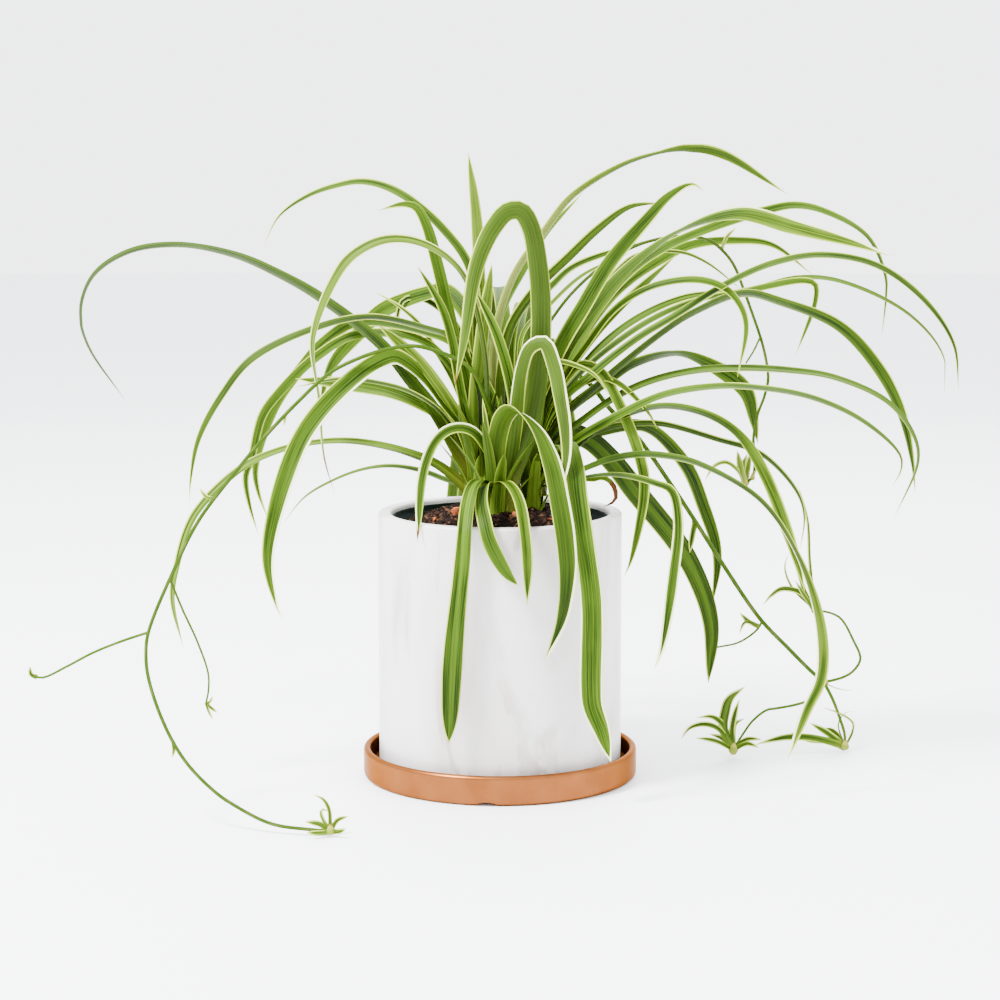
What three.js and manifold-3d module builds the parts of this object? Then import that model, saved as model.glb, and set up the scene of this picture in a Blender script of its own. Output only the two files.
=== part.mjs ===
// A potted spider plant: a copper saucer, a marbled planter, a grow pot full of soil, four leaf
// rosettes with striped arching blades, and three runners that carry plantlets
import * as THREE from 'three';
import { mergeVertices } from 'three/addons/utils/BufferGeometryUtils.js';
import Module from 'manifold-3d';

const wasm = await Module();
wasm.setup();

// Driving dimensions, in millimetres, with z = 0 at the surface that the saucer stands on
const GAP = 0.3;
const GRID = 0.004;
const FLOOR_GAP = 2.4;
const SAUCER = { radius: 95, top: 20, floor: 6.7, wall: 5, foot: 3, sides: 48 };
const NOTCH = { x: -9, width: 17, height: 2.6, depth: 14 };
const PLANTER = { radius: 84, top: 184, wall: 9, floor: 8, rim: 2, foot: 3, sides: 48 };
const POT = { radius: 74.4, base: 55, top: 181, wall: 1.6, floor: 2, lip: 5, sides: 32 };
const DRAINS = { count: 6, radius: 5, circle: 37 };
const SOIL = { edge: 171, middle: 189, relief: 1.3, rings: 5, sides: 24 };
const CROWN = { radius: 9, buried: 20, soil: 186, sides: 8 };
const BLADE = { keel: 1.2, groove: 0.12, step: 42, bend: 1.7, fewest: 3, most: 10 };
const STEM = { sides: 5, step: 16, hole: 8 };

// Where each rosette's crown stands in the soil, and how high its sheath of leaf bases reaches
const CROWNS = {
  front: [-3, -24, 204], left: [-14, 4, 212], right: [22, -6, 212], back: [6, 24, 216],
};

// Leaves are placed as seen from the front, from this eye. A place (x, z) is where the line of
// sight crosses the plane through the pot's middle, and it is slid along that line to its depth y
const EYE = { y: -1674, z: 421 };

function place(x, z, y) {
  const k = 1 - y / EYE.y;
  return new THREE.Vector3(x * k, y, EYE.z + (z - EYE.z) * k);
}

// Each leaf is [full width, depths from foot to tip, turns of the blade in degrees, x and z of the
// places it passes]. A positive turn shows more of the upper face to the front
const LEFT_LEAVES = [
  [11, [4, 20, 60, 90, 110], [45, 30, 22, 12, 30, 55], [-18, 208, -30, 228, -45, 254, -60, 273, -80,
    298, -122, 331, -150, 347, -180, 360, -220, 367, -255, 362, -280, 345, -289, 320, -284, 298, -259,
    261]],
  [8, [4, 6, 50, 80], [30, 30, 40, 45], [-15, 215, -15, 290, -20, 350, -40, 379, -62, 398, -80, 407,
    -95, 409.5, -110, 407, -130, 400, -150, 386, -161, 365]],
  [9, [2, 8, 10], [60, 60, 75], [-12, 215, -18, 255, -30, 300, -43, 355, -50, 380, -57, 392, -65, 394,
    -82, 390]],
  [8, [0, -12, -22, -28], [35, 40, 40, 70, 22, 30], [-10, 212, -10, 290, -23, 343, -38, 360, -60, 370,
    -80, 370, -100, 360, -112, 345, -128, 303, -124, 260, -121, 222, -114, 196]],
  [8, [2, 0, -8, -16], [25, 30, 35, 45, 50], [-14, 215, -15, 270, -30, 302, -50, 310, -90, 318, -130,
    309, -170, 289, -190, 265, -207, 234, -213, 205, -214, 190]],
  [8, [6, 30, 70, 90], [30, 45, 65, 85, 105, 110], [-16, 215, -14, 265, -30, 299, -50, 308, -97,
    314.5, -120, 301, -135, 284, -155, 255, -168, 215, -167, 200, -160, 178]],
  [7, [8, 34, 54, 60], [30, 30, 55, 95, 105, 110], [-18, 215, -22, 262, -50, 300, -97, 306, -125, 291,
    -153, 264, -163, 250, -171, 220, -175, 208, -173, 190, -167, 168]],
  [[9, 12, 13, 11], [0, -14, -44, -70, -84], [25, 70, 75, 75], [-14, 208, -25, 240, -38, 258, -50,
    275, -64, 287.5, -72, 291, -86, 286, -107, 270, -125, 251, -139, 229, -154, 187, -160.5, 149,
    -155, 119, -151.5, 109]],
  [[11, 11, 12, 12, 11], [8, 20, 80, 110], [35, 40, 60, 105, 125], [-14, 215, -12, 270, -20, 315, -38,
    336, -50, 334, -68, 328, -82, 321, -95, 308, -115, 284.5, -124, 256]],
  [5, [8, 50, 70, 66], [40], [-16, 225, -15, 280, -35, 318, -55, 331, -66, 329, -70, 318, -69, 306,
    -64, 296]],
  [7, [2, -5, -9], [80], [-18, 215, -30, 285, -33, 303, -40, 325, -56, 352]],
  [[9, 8, 8], [2, -8, -24, -34], [60, 35, 25, 40, 40, 45], [-26, 203, -44, 217, -62, 224.5, -80,
    229.5, -105, 233, -130, 231.5, -153, 226, -178, 214, -211, 181, -224, 144, -227, 122, -220, 88]],
  [5, [8, 60, 100], [30, 30, 30, 32, 42], [-26, 201, -40, 207, -55, 212.5, -75, 215.5, -95, 213, -116,
    205, -135, 193.5, -150, 175]],
  [[10, 10, 10, 11, 9], [6, 30, 50], [40, 60, 80, 85], [-22, 215, -35, 246, -55, 259, -75, 267, -97,
    271, -140, 275.5]],
  [6, [4, 0, -4], [25], [-22, 220, -40, 252, -60, 266, -81, 272.5, -110, 275.5, -141, 269.5]],
  [10, [2, -10, -20], [80, 90, 95], [-18, 215, -25, 240, -40, 266, -55, 286, -70, 301, -83, 312]],
  [4, [8, 40, 60], [40], [-16, 225, -31, 272, -45, 297, -55, 313, -70, 326, -86, 335]],
  [[8, 10, 10], [2, 4, 6], [90, 105], [-14, 212, -17, 235, -17, 262, -14, 290, -11, 315, -5.5, 354]],
  [8, [2, 4, 4], [70], [-10, 212, -4, 255, -12, 276, -22, 297]],
];

const FRONT_LEAVES = [
  [[14, 14, 14, 13, 11, 9], [-24, -28, -36, -55, -85], [-10, -15, -30, -45, -65, -70], [6, 205, 20,
    240, 27, 290, 28, 325, 25.5, 355, 21, 378, 14, 389.5, 5, 389, -4, 379, -11, 366, -17, 348, -25,
    300, -31, 270]],
  [10, [-24, -32, -48, -66, -80], [20, 30, 60, 80, 75, 70], [5, 206, 9.5, 235, 15, 282, 21, 297, 30,
    300, 37, 284, 41.5, 262, 45, 240, 45.5, 220, 41, 194]],
  [[11, 14, 16, 15, 13], [-26, -30, -36, -44, -54, -64, -73, -82, -91, -96, -98, -98, -98], [15, 20,
    20, -10, -20, -20, -35], [-3, 205, -3, 220, -1, 238, 3, 250, 10, 255, 20, 248, 28, 237, 36, 216,
    41, 192, 45.5, 164, 47, 140, 43, 108, 31, 78]],
  [[8, 9, 10, 12, 14, 14], [-30, -44, -60, -76, -90, -93, -94, -92], [0], [-9, 202, -14, 206, -19,
    201, -22.5, 188, -24.5, 170, -26, 150, -32.5, 85, -36, 20]],
  [[7, 9, 10, 11, 11], [-30, -50, -70, -85, -92, -95, -93], [0], [-7, 199, -11, 202, -13, 190, -11,
    178, -7, 162, 5, 140, 12.5, 132]],
  [[8, 8, 8, 9], [-30, -46, -62, -79, -91, -94, -93], [0], [-2, 201, 3, 205, 9, 200, 14, 189, 17, 172,
    19, 150, 19, 118]],
  [7, [-26, -38, -54, -72], [110, 105, 95, 85, 80], [-4, 216, -10, 229, -18, 239, -27, 242, -36, 240,
    -44, 233, -50, 221, -54, 205, -57, 163]],
  [8, [-22, -20, -22], [75], [4, 215, 10, 240, 8, 268, -3, 308, -18, 338]],
  [5, [-26, -32, -34], [0], [-6, 215, -9, 240, -12, 262]],
];

const RIGHT_LEAVES = [
  [[11, 13, 14, 16, 16], [-9, -26, -50, -68, -80, -88, -93, -94, -94, -95, -95], [0], [26, 212, 30,
    222, 45, 231, 51, 215, 53.5, 195, 57, 170, 63.5, 120, 63.5, 60, 64.5, 47, 71, 29, 77.5, 7]],
  [[9, 10, 11, 10, 9], [-8, -20, -40, -50], [80, 90, 95], [19, 220, 22, 250, 41, 297, 57, 325, 75,
    355, 98, 382, 115, 400, 130, 407.5, 138, 403]],
  [[11, 11, 11, 12, 12], [-6, -20, -40, -60], [50, 65, 65, 12, 80, 85], [20, 220, 28, 255, 45, 296,
    60, 319, 80, 344, 100, 362, 125, 378, 162, 388, 200, 378.5, 240, 368, 266, 359]],
  [4, [-2, 8, 15], [40], [20, 225, 15, 305, 34, 326, 56, 346, 90, 362]],
  [8, [-4, 10, 30, 40], [30, 30, 40, 50, 36, 50], [24, 220, 35, 262, 60, 312, 85, 345, 110, 364, 137,
    376, 180, 390, 200, 393.5, 220, 389.5, 250, 372, 262.5, 345, 263, 332, 260.5, 303]],
  [4, [-2, 20, 60], [30, 30, 45, 60], [24, 235, 60, 320, 90, 358, 121, 362, 140, 355, 166, 335]],
  [7, [-2, 20, 60, 80], [30, 35, 50, 70, 65], [24, 220, 40, 275, 60, 310, 82, 337, 107, 355, 130,
    366.5, 160, 369.5, 185, 366.5, 212.5, 346.5]],
  [7, [-2, 10, 30], [50], [22, 240, 60, 300, 82, 325, 120, 360]],
  [6, [-8, -20, -40, -50], [60, 60, 60, 55, 60, 75], [24, 225, 40, 270, 60, 300, 75, 320, 90, 332,
    110, 340.5, 135, 343, 152, 338, 163, 327, 168, 312, 162.5, 276.5]],
  [8, [-8, -30, -60, -80], [40, 45, 35, 30, 35], [26, 222, 35, 252, 64, 280, 94, 303.5, 118, 318, 157,
    342, 186, 354.5, 218, 360, 256, 353, 289, 329.5, 310, 299, 314, 267]],
  [11, [-8, -16, -26, -34], [20, 25, 20, 32, 60, 45], [27, 220, 40, 245, 70, 274, 111, 307.5, 132,
    321, 166, 334, 192, 328, 231, 312, 258, 284, 275, 253, 283.5, 219, 286, 196]],
  [9, [-8, -20, -36, -50], [30, 33, 30, 22, 20], [27, 214, 35, 230, 57, 247.5, 80, 263.5, 103, 274,
    132, 281, 163, 283, 197, 281.5, 229, 276.5, 266, 259.5, 284, 237, 287.5, 219, 272, 179.5]],
  [9, [-8, -36, -70, -90], [40, 45, 32, 20, 15, 15], [26, 210, 50, 232, 80, 250, 110, 264, 137, 269.5,
    165, 270.5, 213, 263, 250, 246, 275, 223, 276, 213, 270, 201]],
  [[10, 10, 9, 9, 12], [-8, -24, -40, -50], [25, 30, 25, 35, 85, 85], [28, 209, 49, 226.5, 69, 242.5,
    90, 252.5, 111, 257, 132, 254.5, 152, 246.5, 168, 233, 183, 208, 197, 173.5, 205, 150, 211, 128]],
  [[7, 8, 8, 8, 9, 11], [-10, -46, -70, -76, -70], [25, 30, 10, 5, 55, 75], [26, 203, 55, 212.5, 75,
    220, 96, 223.5, 117, 222, 138, 216.5, 180, 191.5, 206, 153.5, 222.5, 104, 223.5, 67, 214, 44, 201, 9]],
  [6, [-4, 20, 50], [25, 35, 40, 38, 45, 60], [28, 212, 40, 222, 68, 240, 90, 244.5, 111, 244.5, 149,
    234, 180, 223.5, 205, 197, 210, 180, 207, 156]],
  [[9, 9, 10, 10, 9], [0, 40, 80, 90], [30, 50, 60, 110, 120, 125], [27, 212, 40, 228, 70, 240, 100,
    242.5, 127, 217, 140, 188, 150, 154, 147, 117]],
  [[6, 6, 7, 8, 9], [-12, -46, -74, -84], [25, 40, 65, 70], [28, 200, 55, 207, 73, 209.5, 91, 208,
    107, 203.5, 118, 198.5, 123, 178, 120, 140, 112, 86, 107, 72]],
  [[6, 7, 8, 8], [-8, -16, -30, -34], [50, 70, 85, 95], [24, 225, 35, 262, 55, 285, 68, 281, 78, 266,
    96, 222, 99.5, 200, 90, 148, 86, 139]],
  [[11, 14, 16, 15, 13, 11], [0, 26, 56, 66], [60, 80, 92, 100, 105, 112], [28, 218, 45, 238, 60, 234,
    75, 221, 94, 197, 130, 150, 146, 107, 145, 63]],
  [[9, 9, 9, 10, 14, 16], [0, 14, 40, 60], [20, 25, 40, 18, 90, 110], [26, 222, 45, 252, 71, 272.5,
    90, 285.5, 121, 293, 145, 284.5, 168, 267.5, 174, 248, 177, 231]],
  [6, [-6, 0, 10], [30, 35, 40, 35, 60, 105], [26, 225, 45, 268, 90, 308, 130, 328, 165, 335, 207,
    342.5, 214.5, 340, 215, 329, 202, 291.5]],
  [6, [-4, 20, 40], [40, 55, 50, 32, 35, 45], [24, 225, 50, 275, 82, 309, 124, 330.5, 167, 335.5, 203,
    344.5, 232, 342, 279, 319.5, 303, 291, 304.5, 264]],
  [4, [-8, -24, -30], [60], [20, 235, 25, 272, 36, 287, 55, 283.5, 66, 277, 74, 265]],
  [5, [-6, -16, -24], [40, 50, 60], [26, 225, 45, 262, 66, 276, 80, 273, 101, 253, 108, 241]],
  [4, [-4, 2, 4], [60, 60, 90], [30, 205, 45, 209, 63, 206, 70.5, 207.5, 76.5, 204, 79.5, 198, 79.5,
    192, 76, 189, 71, 187]],
];

const BACK_LEAVES = [
  [[7, 7, 8, 9, 10], [26, 38, 40], [110], [2, 225, -8, 265, -12, 300, -16, 385, -21.5, 429]],
  [[7, 7, 7, 8, 10, 9], [24, 16, 6, 0], [-50, -50, -48, -45, -40, -30, -12, -80, -85], [0, 225, -4,
    300, 9, 345, 30, 376, 48, 399, 77, 418, 98, 426.5, 128, 432, 151, 427.5, 194.5, 401]],
  [5, [26, 32, 38], [60], [3, 225, -1, 312, 17.5, 352, 30, 373, 57, 403]],
  [8, [22, 16, 12, 8], [-55], [6, 225, 0, 260, 6, 308, 21, 333, 48, 360, 67, 378, 88, 392.5, 112,
    395]],
  [5.5, [28, 38, 44], [65], [10, 225, 12, 318, 34, 338, 50, 352, 103, 370.5]],
  [7, [20, 20, 18], [-70], [10, 225, 16, 250, 20, 270, 30, 290]],
];

// Leaves that arch away behind: width, heading in degrees from +X, reach, height over the soil
// and height of the tip
const REAR_LEAVES = [
  [9, 101, 215, 118, 60], [11, 84, 240, 132, 40], [8, 72, 200, 108, 120], [9, 108, 170, 84, 50],
  [9, 92, 150, 96, 100], [8, 78, 160, 74, 30], [10, 95, 190, 146, 150], [8, 64, 130, 90, 130],
];

// Runners: stems as [radius, depths, places], buds as [radius, x, z] and small leaves as the large
// ones. The first stem's depths are true, and the others' are told from where the shoot starts
const SMALL_KEEL = 0.8;
const RUNNERS = {
  left: {
    stems: [
      [1.4, [0, -22, -36, -60, -90, -122, -150, -168], [1, 204, -2, 235, -10, 262, -20, 282, -30, 289,
        -45, 295, -60, 298, -80, 295, -100, 288, -117, 279, -140, 258, -160, 237, -180, 213.5, -208, 177,
        -225, 144, -244, 99, -246, 84, -244.5, 66, -233.5, 32, -219, 6, -198, -16, -185, -25,
        -167, -35, -155, -39, -135.5, -41.5, -119, -43]],
      [1, [0, -10, -18], [-243, 99, -262, 93, -283, 84.5, -300, 75.5, -318, 67, -325, 68]],
      [0.9, [0, 16, 20], [-229, 136, -220, 115, -210, 92, -203, 70, -203, 58, -205, 48]],
    ],
    buds: [[3.2, -118, -44]],
    leaves: [
      [3, [0, -2], [75], [-322, 67, -326, 69, -327, 75]],
      [2.5, [0, 2], [-60], [-205, 49, -202, 46, -197, 42]],
      [2, [0, -4], [-30], [-205, 49, -203, 43, -200, 37]],
      [2, [0, 4], [-40], [-205, 48, -202, 50, -200, 54]],
      [2.5, [0, 3], [0], [-229, 20, -228, 15, -229, 10]],
      [2.5, [0, 4], [-50], [-143, 255, -147, 251, -148, 243]],
      [2.5, [0, 3], [60], [-197, 193, -202, 194, -207, 200]],
      [3.5, [0, 5], [20], [-118, -43, -120, -27, -124, -20, -131, -16.5]],
      [4, [0, 4], [60], [-117, -43, -126, -38, -137, -36]],
      [3.5, [0, -6], [60], [-116, -44, -124, -44, -136, -44]],
      [3.5, [0, -4], [-70], [-118, -44, -113, -43, -108, -41]],
      [2.5, [0, 4], [0], [-119, -42, -125, -32, -125, -27.5, -120, -28.5]],
      [3, [0, 10], [-60], [-118, -43, -114, -35, -106, -32]],
    ],
  },
  right: {
    stems: [
      [1.75, [4, 20, 40, 60, 72], [7, 204, 12, 235, 25, 262, 45, 280, 60, 273, 76, 254, 93, 237,
        118, 202, 134, 178, 152, 150, 180, 109, 200, 88, 217, 71, 226.5, 63]],
      [1.1, [0, -6, -12], [226, 64, 238, 67, 245, 71, 250.5, 80, 245, 94, 237, 108, 231, 112, 218, 115]],
      [1.3, [0, -7, -14], [226, 65, 232, 51, 237, 38, 240.5, 27, 241, 17.5]],
      [1.1, [0, -14, -30], [226, 64, 215, 51, 207, 48, 192, 45, 186, 44, 176, 36, 171, 29, 163, 16]],
      [0.9, [0, -4], [181, 107, 179, 101.5, 166, 92, 151, 88.5]],
    ],
    buds: [[4, 163, 14], [3.6, 240, 17], [3, 217, 117], [2.4, 226.5, 64]],
    leaves: [
      [4.5, [0, -2], [60], [135, 177, 133, 168, 131, 155]],
      [3.5, [0, -4], [-85], [180, 103, 172, 107, 166, 113]],
      [2.5, [0, -8], [60], [180, 103, 170, 106, 166, 98]],
      [[7, 10, 11, 8], [0, -4], [75], [162, 16, 156, 30, 157, 43, 160, 52, 171, 61]],
      [5, [0, -3], [60], [163, 16, 162, 30, 164, 42, 167, 52]],
      [4.5, [0, -6], [90], [162, 16, 155, 34, 148, 39, 137, 38.5]],
      [4, [0, -12], [80], [162, 16, 152, 31, 142, 34, 132, 31, 126, 22.5]],
      [3.5, [0, -18], [80], [162, 16, 150, 22, 136, 24]],
      [3.5, [0, 7], [-70], [163, 16, 172, 23, 183, 23]],
      [3.5, [0, -7], [-75], [163, 16, 173, 20, 181, 17]],
      [3.5, [0, 9], [-40], [163, 16, 164, 34, 171, 38]],
      [3.5, [0, 18], [60], [162, 16, 155, 24, 146, 27]],
      [6.5, [0, -10, -16], [75], [240, 18, 228, 22, 215, 24.5, 200, 24.5, 188, 22, 178, 19]],
      [4.5, [0, 8], [75], [240, 18, 230, 21.5, 215, 23, 203, 28]],
      [5.5, [0, -4], [90], [240, 18, 228, 28, 216, 35]],
      [4, [0, 6], [75], [241, 18, 232, 29, 223, 30]],
      [2.5, [0, 8], [30], [241, 18, 246, 28, 246, 35, 238, 41, 224, 46]],
      [2.5, [0, 14], [30], [241, 18, 236, 34, 241, 42, 249, 43]],
      [2.5, [0, 8], [30], [241, 18, 246, 30, 247, 37]],
      [2, [0, 2], [30], [226, 63, 236, 59, 247, 57.5]],
      [4, [0, -8], [80], [218, 115, 208, 127, 195, 129.5, 188, 125, 182, 118]],
      [3.5, [0, 2], [60], [218, 115, 211, 128, 206, 143, 200, 156]],
      [2.5, [0, 6], [30], [218, 115, 202, 131, 197, 145, 200, 156]],
      [2.5, [0, 12], [30], [218, 115, 214, 150, 212, 178, 205, 203]],
      [3, [0, -6], [-70], [218, 115, 210, 126, 204, 136]],
    ],
  },
  back: {
    stems: [
      [1.2, [10, 24, 30, 34, 36], [1, 206, 4, 250, 20, 290, 50, 335, 88, 364, 118, 372, 141, 370,
        152, 362, 159.5, 352, 166, 336, 172, 320, 179, 300, 182.5, 285, 183.5, 275, 181, 263, 177, 252,
        174, 235, 175, 220, 174, 208, 169, 203]],
      [0.8, [0, -4], [178, 304, 173, 294, 168, 286]],
    ],
    buds: [[2.4, 169.5, 203], [2.2, 174.5, 207]],
    leaves: [
      [5.5, [0, -2], [-70], [169, 203, 166, 212, 163, 226]],
      [3, [0, -8], [80], [169, 203, 163, 213, 155, 218, 147, 215, 141, 205]],
      [4.5, [0, 4], [-35], [169, 203, 170, 212, 172, 225]],
      [4, [0, 8], [-10], [169, 203, 167, 214, 170, 224]],
      [2.5, [0, -6], [0], [174, 208, 177, 213, 181, 210]],
      [2.5, [0, 2], [-75], [150, 363, 154, 372, 160, 378]],
    ],
  },
};

// Surfaces and solids
function weld(geometry) {
  geometry.deleteAttribute('normal');
  geometry.deleteAttribute('uv');
  const merged = mergeVertices(geometry, 1e-4);
  const index = merged.getIndex().array;
  const kept = [];
  for (let i = 0; i < index.length; i += 3) {
    const [a, b, c] = [index[i], index[i + 1], index[i + 2]];
    if (a !== b && b !== c && c !== a) kept.push(a, b, c);
  }
  merged.setIndex(kept);
  return merged;
}

function toSolid(geometry) {
  const welded = weld(geometry);
  const vertProperties = new Float32Array(welded.getAttribute('position').array);
  const triVerts = new Uint32Array(welded.getIndex().array);
  return new wasm.Manifold(new wasm.Mesh({ numProp: 3, vertProperties, triVerts }));
}

function toGeometry(solid) {
  const { vertProperties, triVerts } = solid.getMesh();
  const geometry = new THREE.BufferGeometry();
  geometry.setAttribute('position', new THREE.BufferAttribute(new Float32Array(vertProperties), 3));
  geometry.setIndex(new THREE.BufferAttribute(new Uint32Array(triVerts), 1));
  return geometry;
}

function surface(points, triangles) {
  const geometry = new THREE.BufferGeometry();
  geometry.setAttribute('position', new THREE.Float32BufferAttribute(points, 3));
  geometry.setIndex(triangles);
  return geometry;
}

// A quarter round between two corners of a profile, by its centre, radius and end angles
function round(cx, cy, radius, from, to, steps = 2) {
  return Array.from({ length: steps + 1 }, (_, i) => {
    const a = THREE.MathUtils.degToRad(from + (to - from) * i / steps);
    return [cx + radius * Math.cos(a), cy + radius * Math.sin(a)];
  });
}

function turned(profile, sides) {
  const points = profile.map(([r, z]) => new THREE.Vector2(r, z));
  return new THREE.LatheGeometry(points, sides).rotateX(Math.PI / 2);
}

// The saucer, with a small arched notch in its foot
function makeSaucer() {
  const { radius, top, floor, wall, foot, sides } = SAUCER;
  const lip = wall / 2;
  const profile = [
    [0, 0],
    ...round(radius - foot, foot, foot, -90, 0),
    ...round(radius - lip, top - lip, lip, 0, 180, 4),
    ...round(radius - wall - foot, floor + foot, foot, 0, -90),
    [0, floor],
  ];
  const dish = toSolid(turned(profile, sides));
  const { width, height, depth } = NOTCH;
  const arc = (width ** 2 / 4 + height ** 2) / (2 * height);
  const half = THREE.MathUtils.radToDeg(Math.asin(width / 2 / arc));
  const outline = [
    [-width / 2, -1], [width / 2, -1], ...round(0, height - arc, arc, 90 - half, 90 + half, 6),
  ];
  const arch = new THREE.Shape(outline.map(([x, z]) => new THREE.Vector2(x, z)));
  const cutter = new THREE.ExtrudeGeometry(arch, { depth, bevelEnabled: false });
  cutter.rotateX(Math.PI / 2);
  cutter.translate(NOTCH.x, depth - radius - 1, 0);
  return toGeometry(dish.subtract(toSolid(cutter)));
}

function makePlanter() {
  const { radius, top, wall, floor, rim, foot, sides } = PLANTER;
  const low = SAUCER.floor + GAP;
  const inner = radius - wall;
  return weld(turned([
    [0, low],
    ...round(radius - foot, low + foot, foot, -90, 0),
    ...round(radius - rim, top - rim, rim, 0, 90),
    ...round(inner + rim, top - rim, rim, 90, 180),
    ...round(inner - foot, low + floor + foot, foot, 0, -90),
    [0, low + floor],
  ], sides));
}

// The grow pot: a thin tapered pot with a stepped lip and a ring of drain holes in its floor
const POT_LOW = SAUCER.floor + PLANTER.floor + 2 * GAP;

function potRadius(z) {
  return POT.base + (POT.radius - POT.lip / 2 - POT.base) * (z - POT_LOW) / (POT.top - POT_LOW);
}

function makeGrowPot() {
  const shoulder = POT.top - POT.lip;
  let pot = toSolid(turned([
    [0, POT_LOW],
    [potRadius(POT_LOW), POT_LOW],
    [potRadius(shoulder), shoulder],
    [POT.radius, shoulder],
    [POT.radius, POT.top],
    [POT.radius - POT.wall, POT.top],
    [POT.radius - POT.wall, shoulder + POT.wall],
    [potRadius(shoulder) - POT.wall, shoulder + POT.wall / 2],
    [potRadius(POT_LOW) - POT.wall, POT_LOW + POT.floor],
    [0, POT_LOW + POT.floor],
  ], POT.sides));
  const { count, radius, circle } = DRAINS;
  for (let i = 0; i < count; i += 1) {
    const a = 2 * Math.PI * i / count;
    const drill = new THREE.CylinderGeometry(radius, radius, 4 * POT.floor, 8).rotateX(Math.PI / 2);
    pot = pot.subtract(toSolid(drill.translate(circle * Math.cos(a), circle * Math.sin(a), POT_LOW)));
  }
  return toGeometry(pot);
}

// The soil: a fill of the grow pot with a mounded, crumbly top and plain holes for the stems
function crumbs(x, y) {
  return Math.sin(0.61 * x + 1.3 * Math.sin(0.23 * y)) * Math.cos(0.47 * y + 0.9 * Math.sin(0.31 * x));
}

function soilHeight(x, y) {
  const r = Math.hypot(x, y) / POT.radius;
  return SOIL.edge + (SOIL.middle - SOIL.edge) * Math.max(0, 1 - r * r) + SOIL.relief * crumbs(x, y);
}

function makeSoil() {
  const { rings, sides } = SOIL;
  const low = POT_LOW + POT.floor + GAP;
  const clear = POT.wall + GAP + 0.5;
  const brim = potRadius(SOIL.edge) - clear;
  const points = [0, 0, soilHeight(0, 0)];
  const triangles = [];
  const at = (ring, i) => 1 + ring * sides + (i + sides) % sides;
  for (let ring = 0; ring < rings + 1; ring += 1) {
    for (let i = 0; i < sides; i += 1) {
      const a = 2 * Math.PI * i / sides;
      const r = ring < rings ? brim * (ring + 1) / rings : potRadius(low) - clear;
      const [x, y] = [r * Math.cos(a), r * Math.sin(a)];
      points.push(x, y, ring < rings ? soilHeight(x, y) : low);
      if (ring === 0) {
        triangles.push(0, at(0, i), at(0, i + 1));
      } else {
        triangles.push(at(ring - 1, i), at(ring, i), at(ring, i + 1));
        triangles.push(at(ring - 1, i), at(ring, i + 1), at(ring - 1, i + 1));
      }
    }
  }
  const centre = points.length / 3;
  points.push(0, 0, low);
  for (let i = 0; i < sides; i += 1) triangles.push(centre, at(rings, i + 1), at(rings, i));
  return toSolid(surface(points, triangles));
}

// Values spread evenly along a leaf, read between their neighbours
function spread(list, t) {
  const u = THREE.MathUtils.clamp(t, 0, 1) * (list.length - 1);
  const i = Math.min(Math.floor(u), list.length - 2);
  return list.length === 1 ? list[0] : THREE.MathUtils.lerp(list[i], list[i + 1], u - i);
}

// The places of a leaf or stem, slid to their depths, which are given one for each place or spread
function slide(depths, seen) {
  const flat = [];
  for (let i = 0; i < seen.length; i += 2) flat.push(new THREE.Vector2(seen[i], seen[i + 1]));
  const along = [0];
  for (let i = 1; i < flat.length; i += 1) along.push(along[i - 1] + flat[i].distanceTo(flat[i - 1]));
  const each = depths.length === flat.length;
  return flat.map((p, i) => {
    const at = place(p.x, p.y, each ? depths[i] : spread(depths, along[i] / along.at(-1)));
    return at.setZ(Math.max(at.z, FLOOR_GAP));
  });
}

// Steps along a curve, closer where it bends
function stations(curve) {
  const fine = 120;
  const samples = curve.getSpacedPoints(fine);
  const tangents = samples.map((_, i) => curve.getTangentAt(i / fine));
  const load = [0];
  for (let i = 1; i <= fine; i += 1) {
    const run = samples[i].distanceTo(samples[i - 1]);
    load.push(load[i - 1] + run / BLADE.step + BLADE.bend * tangents[i].angleTo(tangents[i - 1]));
  }
  const count = THREE.MathUtils.clamp(Math.round(load.at(-1)), BLADE.fewest, BLADE.most);
  const steps = [];
  for (let n = 0; n <= count; n += 1) {
    const want = load.at(-1) * n / count;
    const i = Math.max(1, load.findIndex((value) => value >= want - 1e-9));
    steps.push(Math.min(1, (i - 1 + (want - load[i - 1]) / (load[i] - load[i - 1])) / fine));
  }
  return steps;
}

// A blade's half width along it: narrow at the foot, long in the middle, drawn out to a point
function halfWidth(widths, t) {
  const foot = Math.min(1, 0.62 + 1.6 * t);
  const tip = t < 0.5 ? 1 : 1 - ((t - 0.5) / 0.5) ** 3.4;
  return 0.5 * spread([widths].flat(), t) * foot * tip;
}

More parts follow.
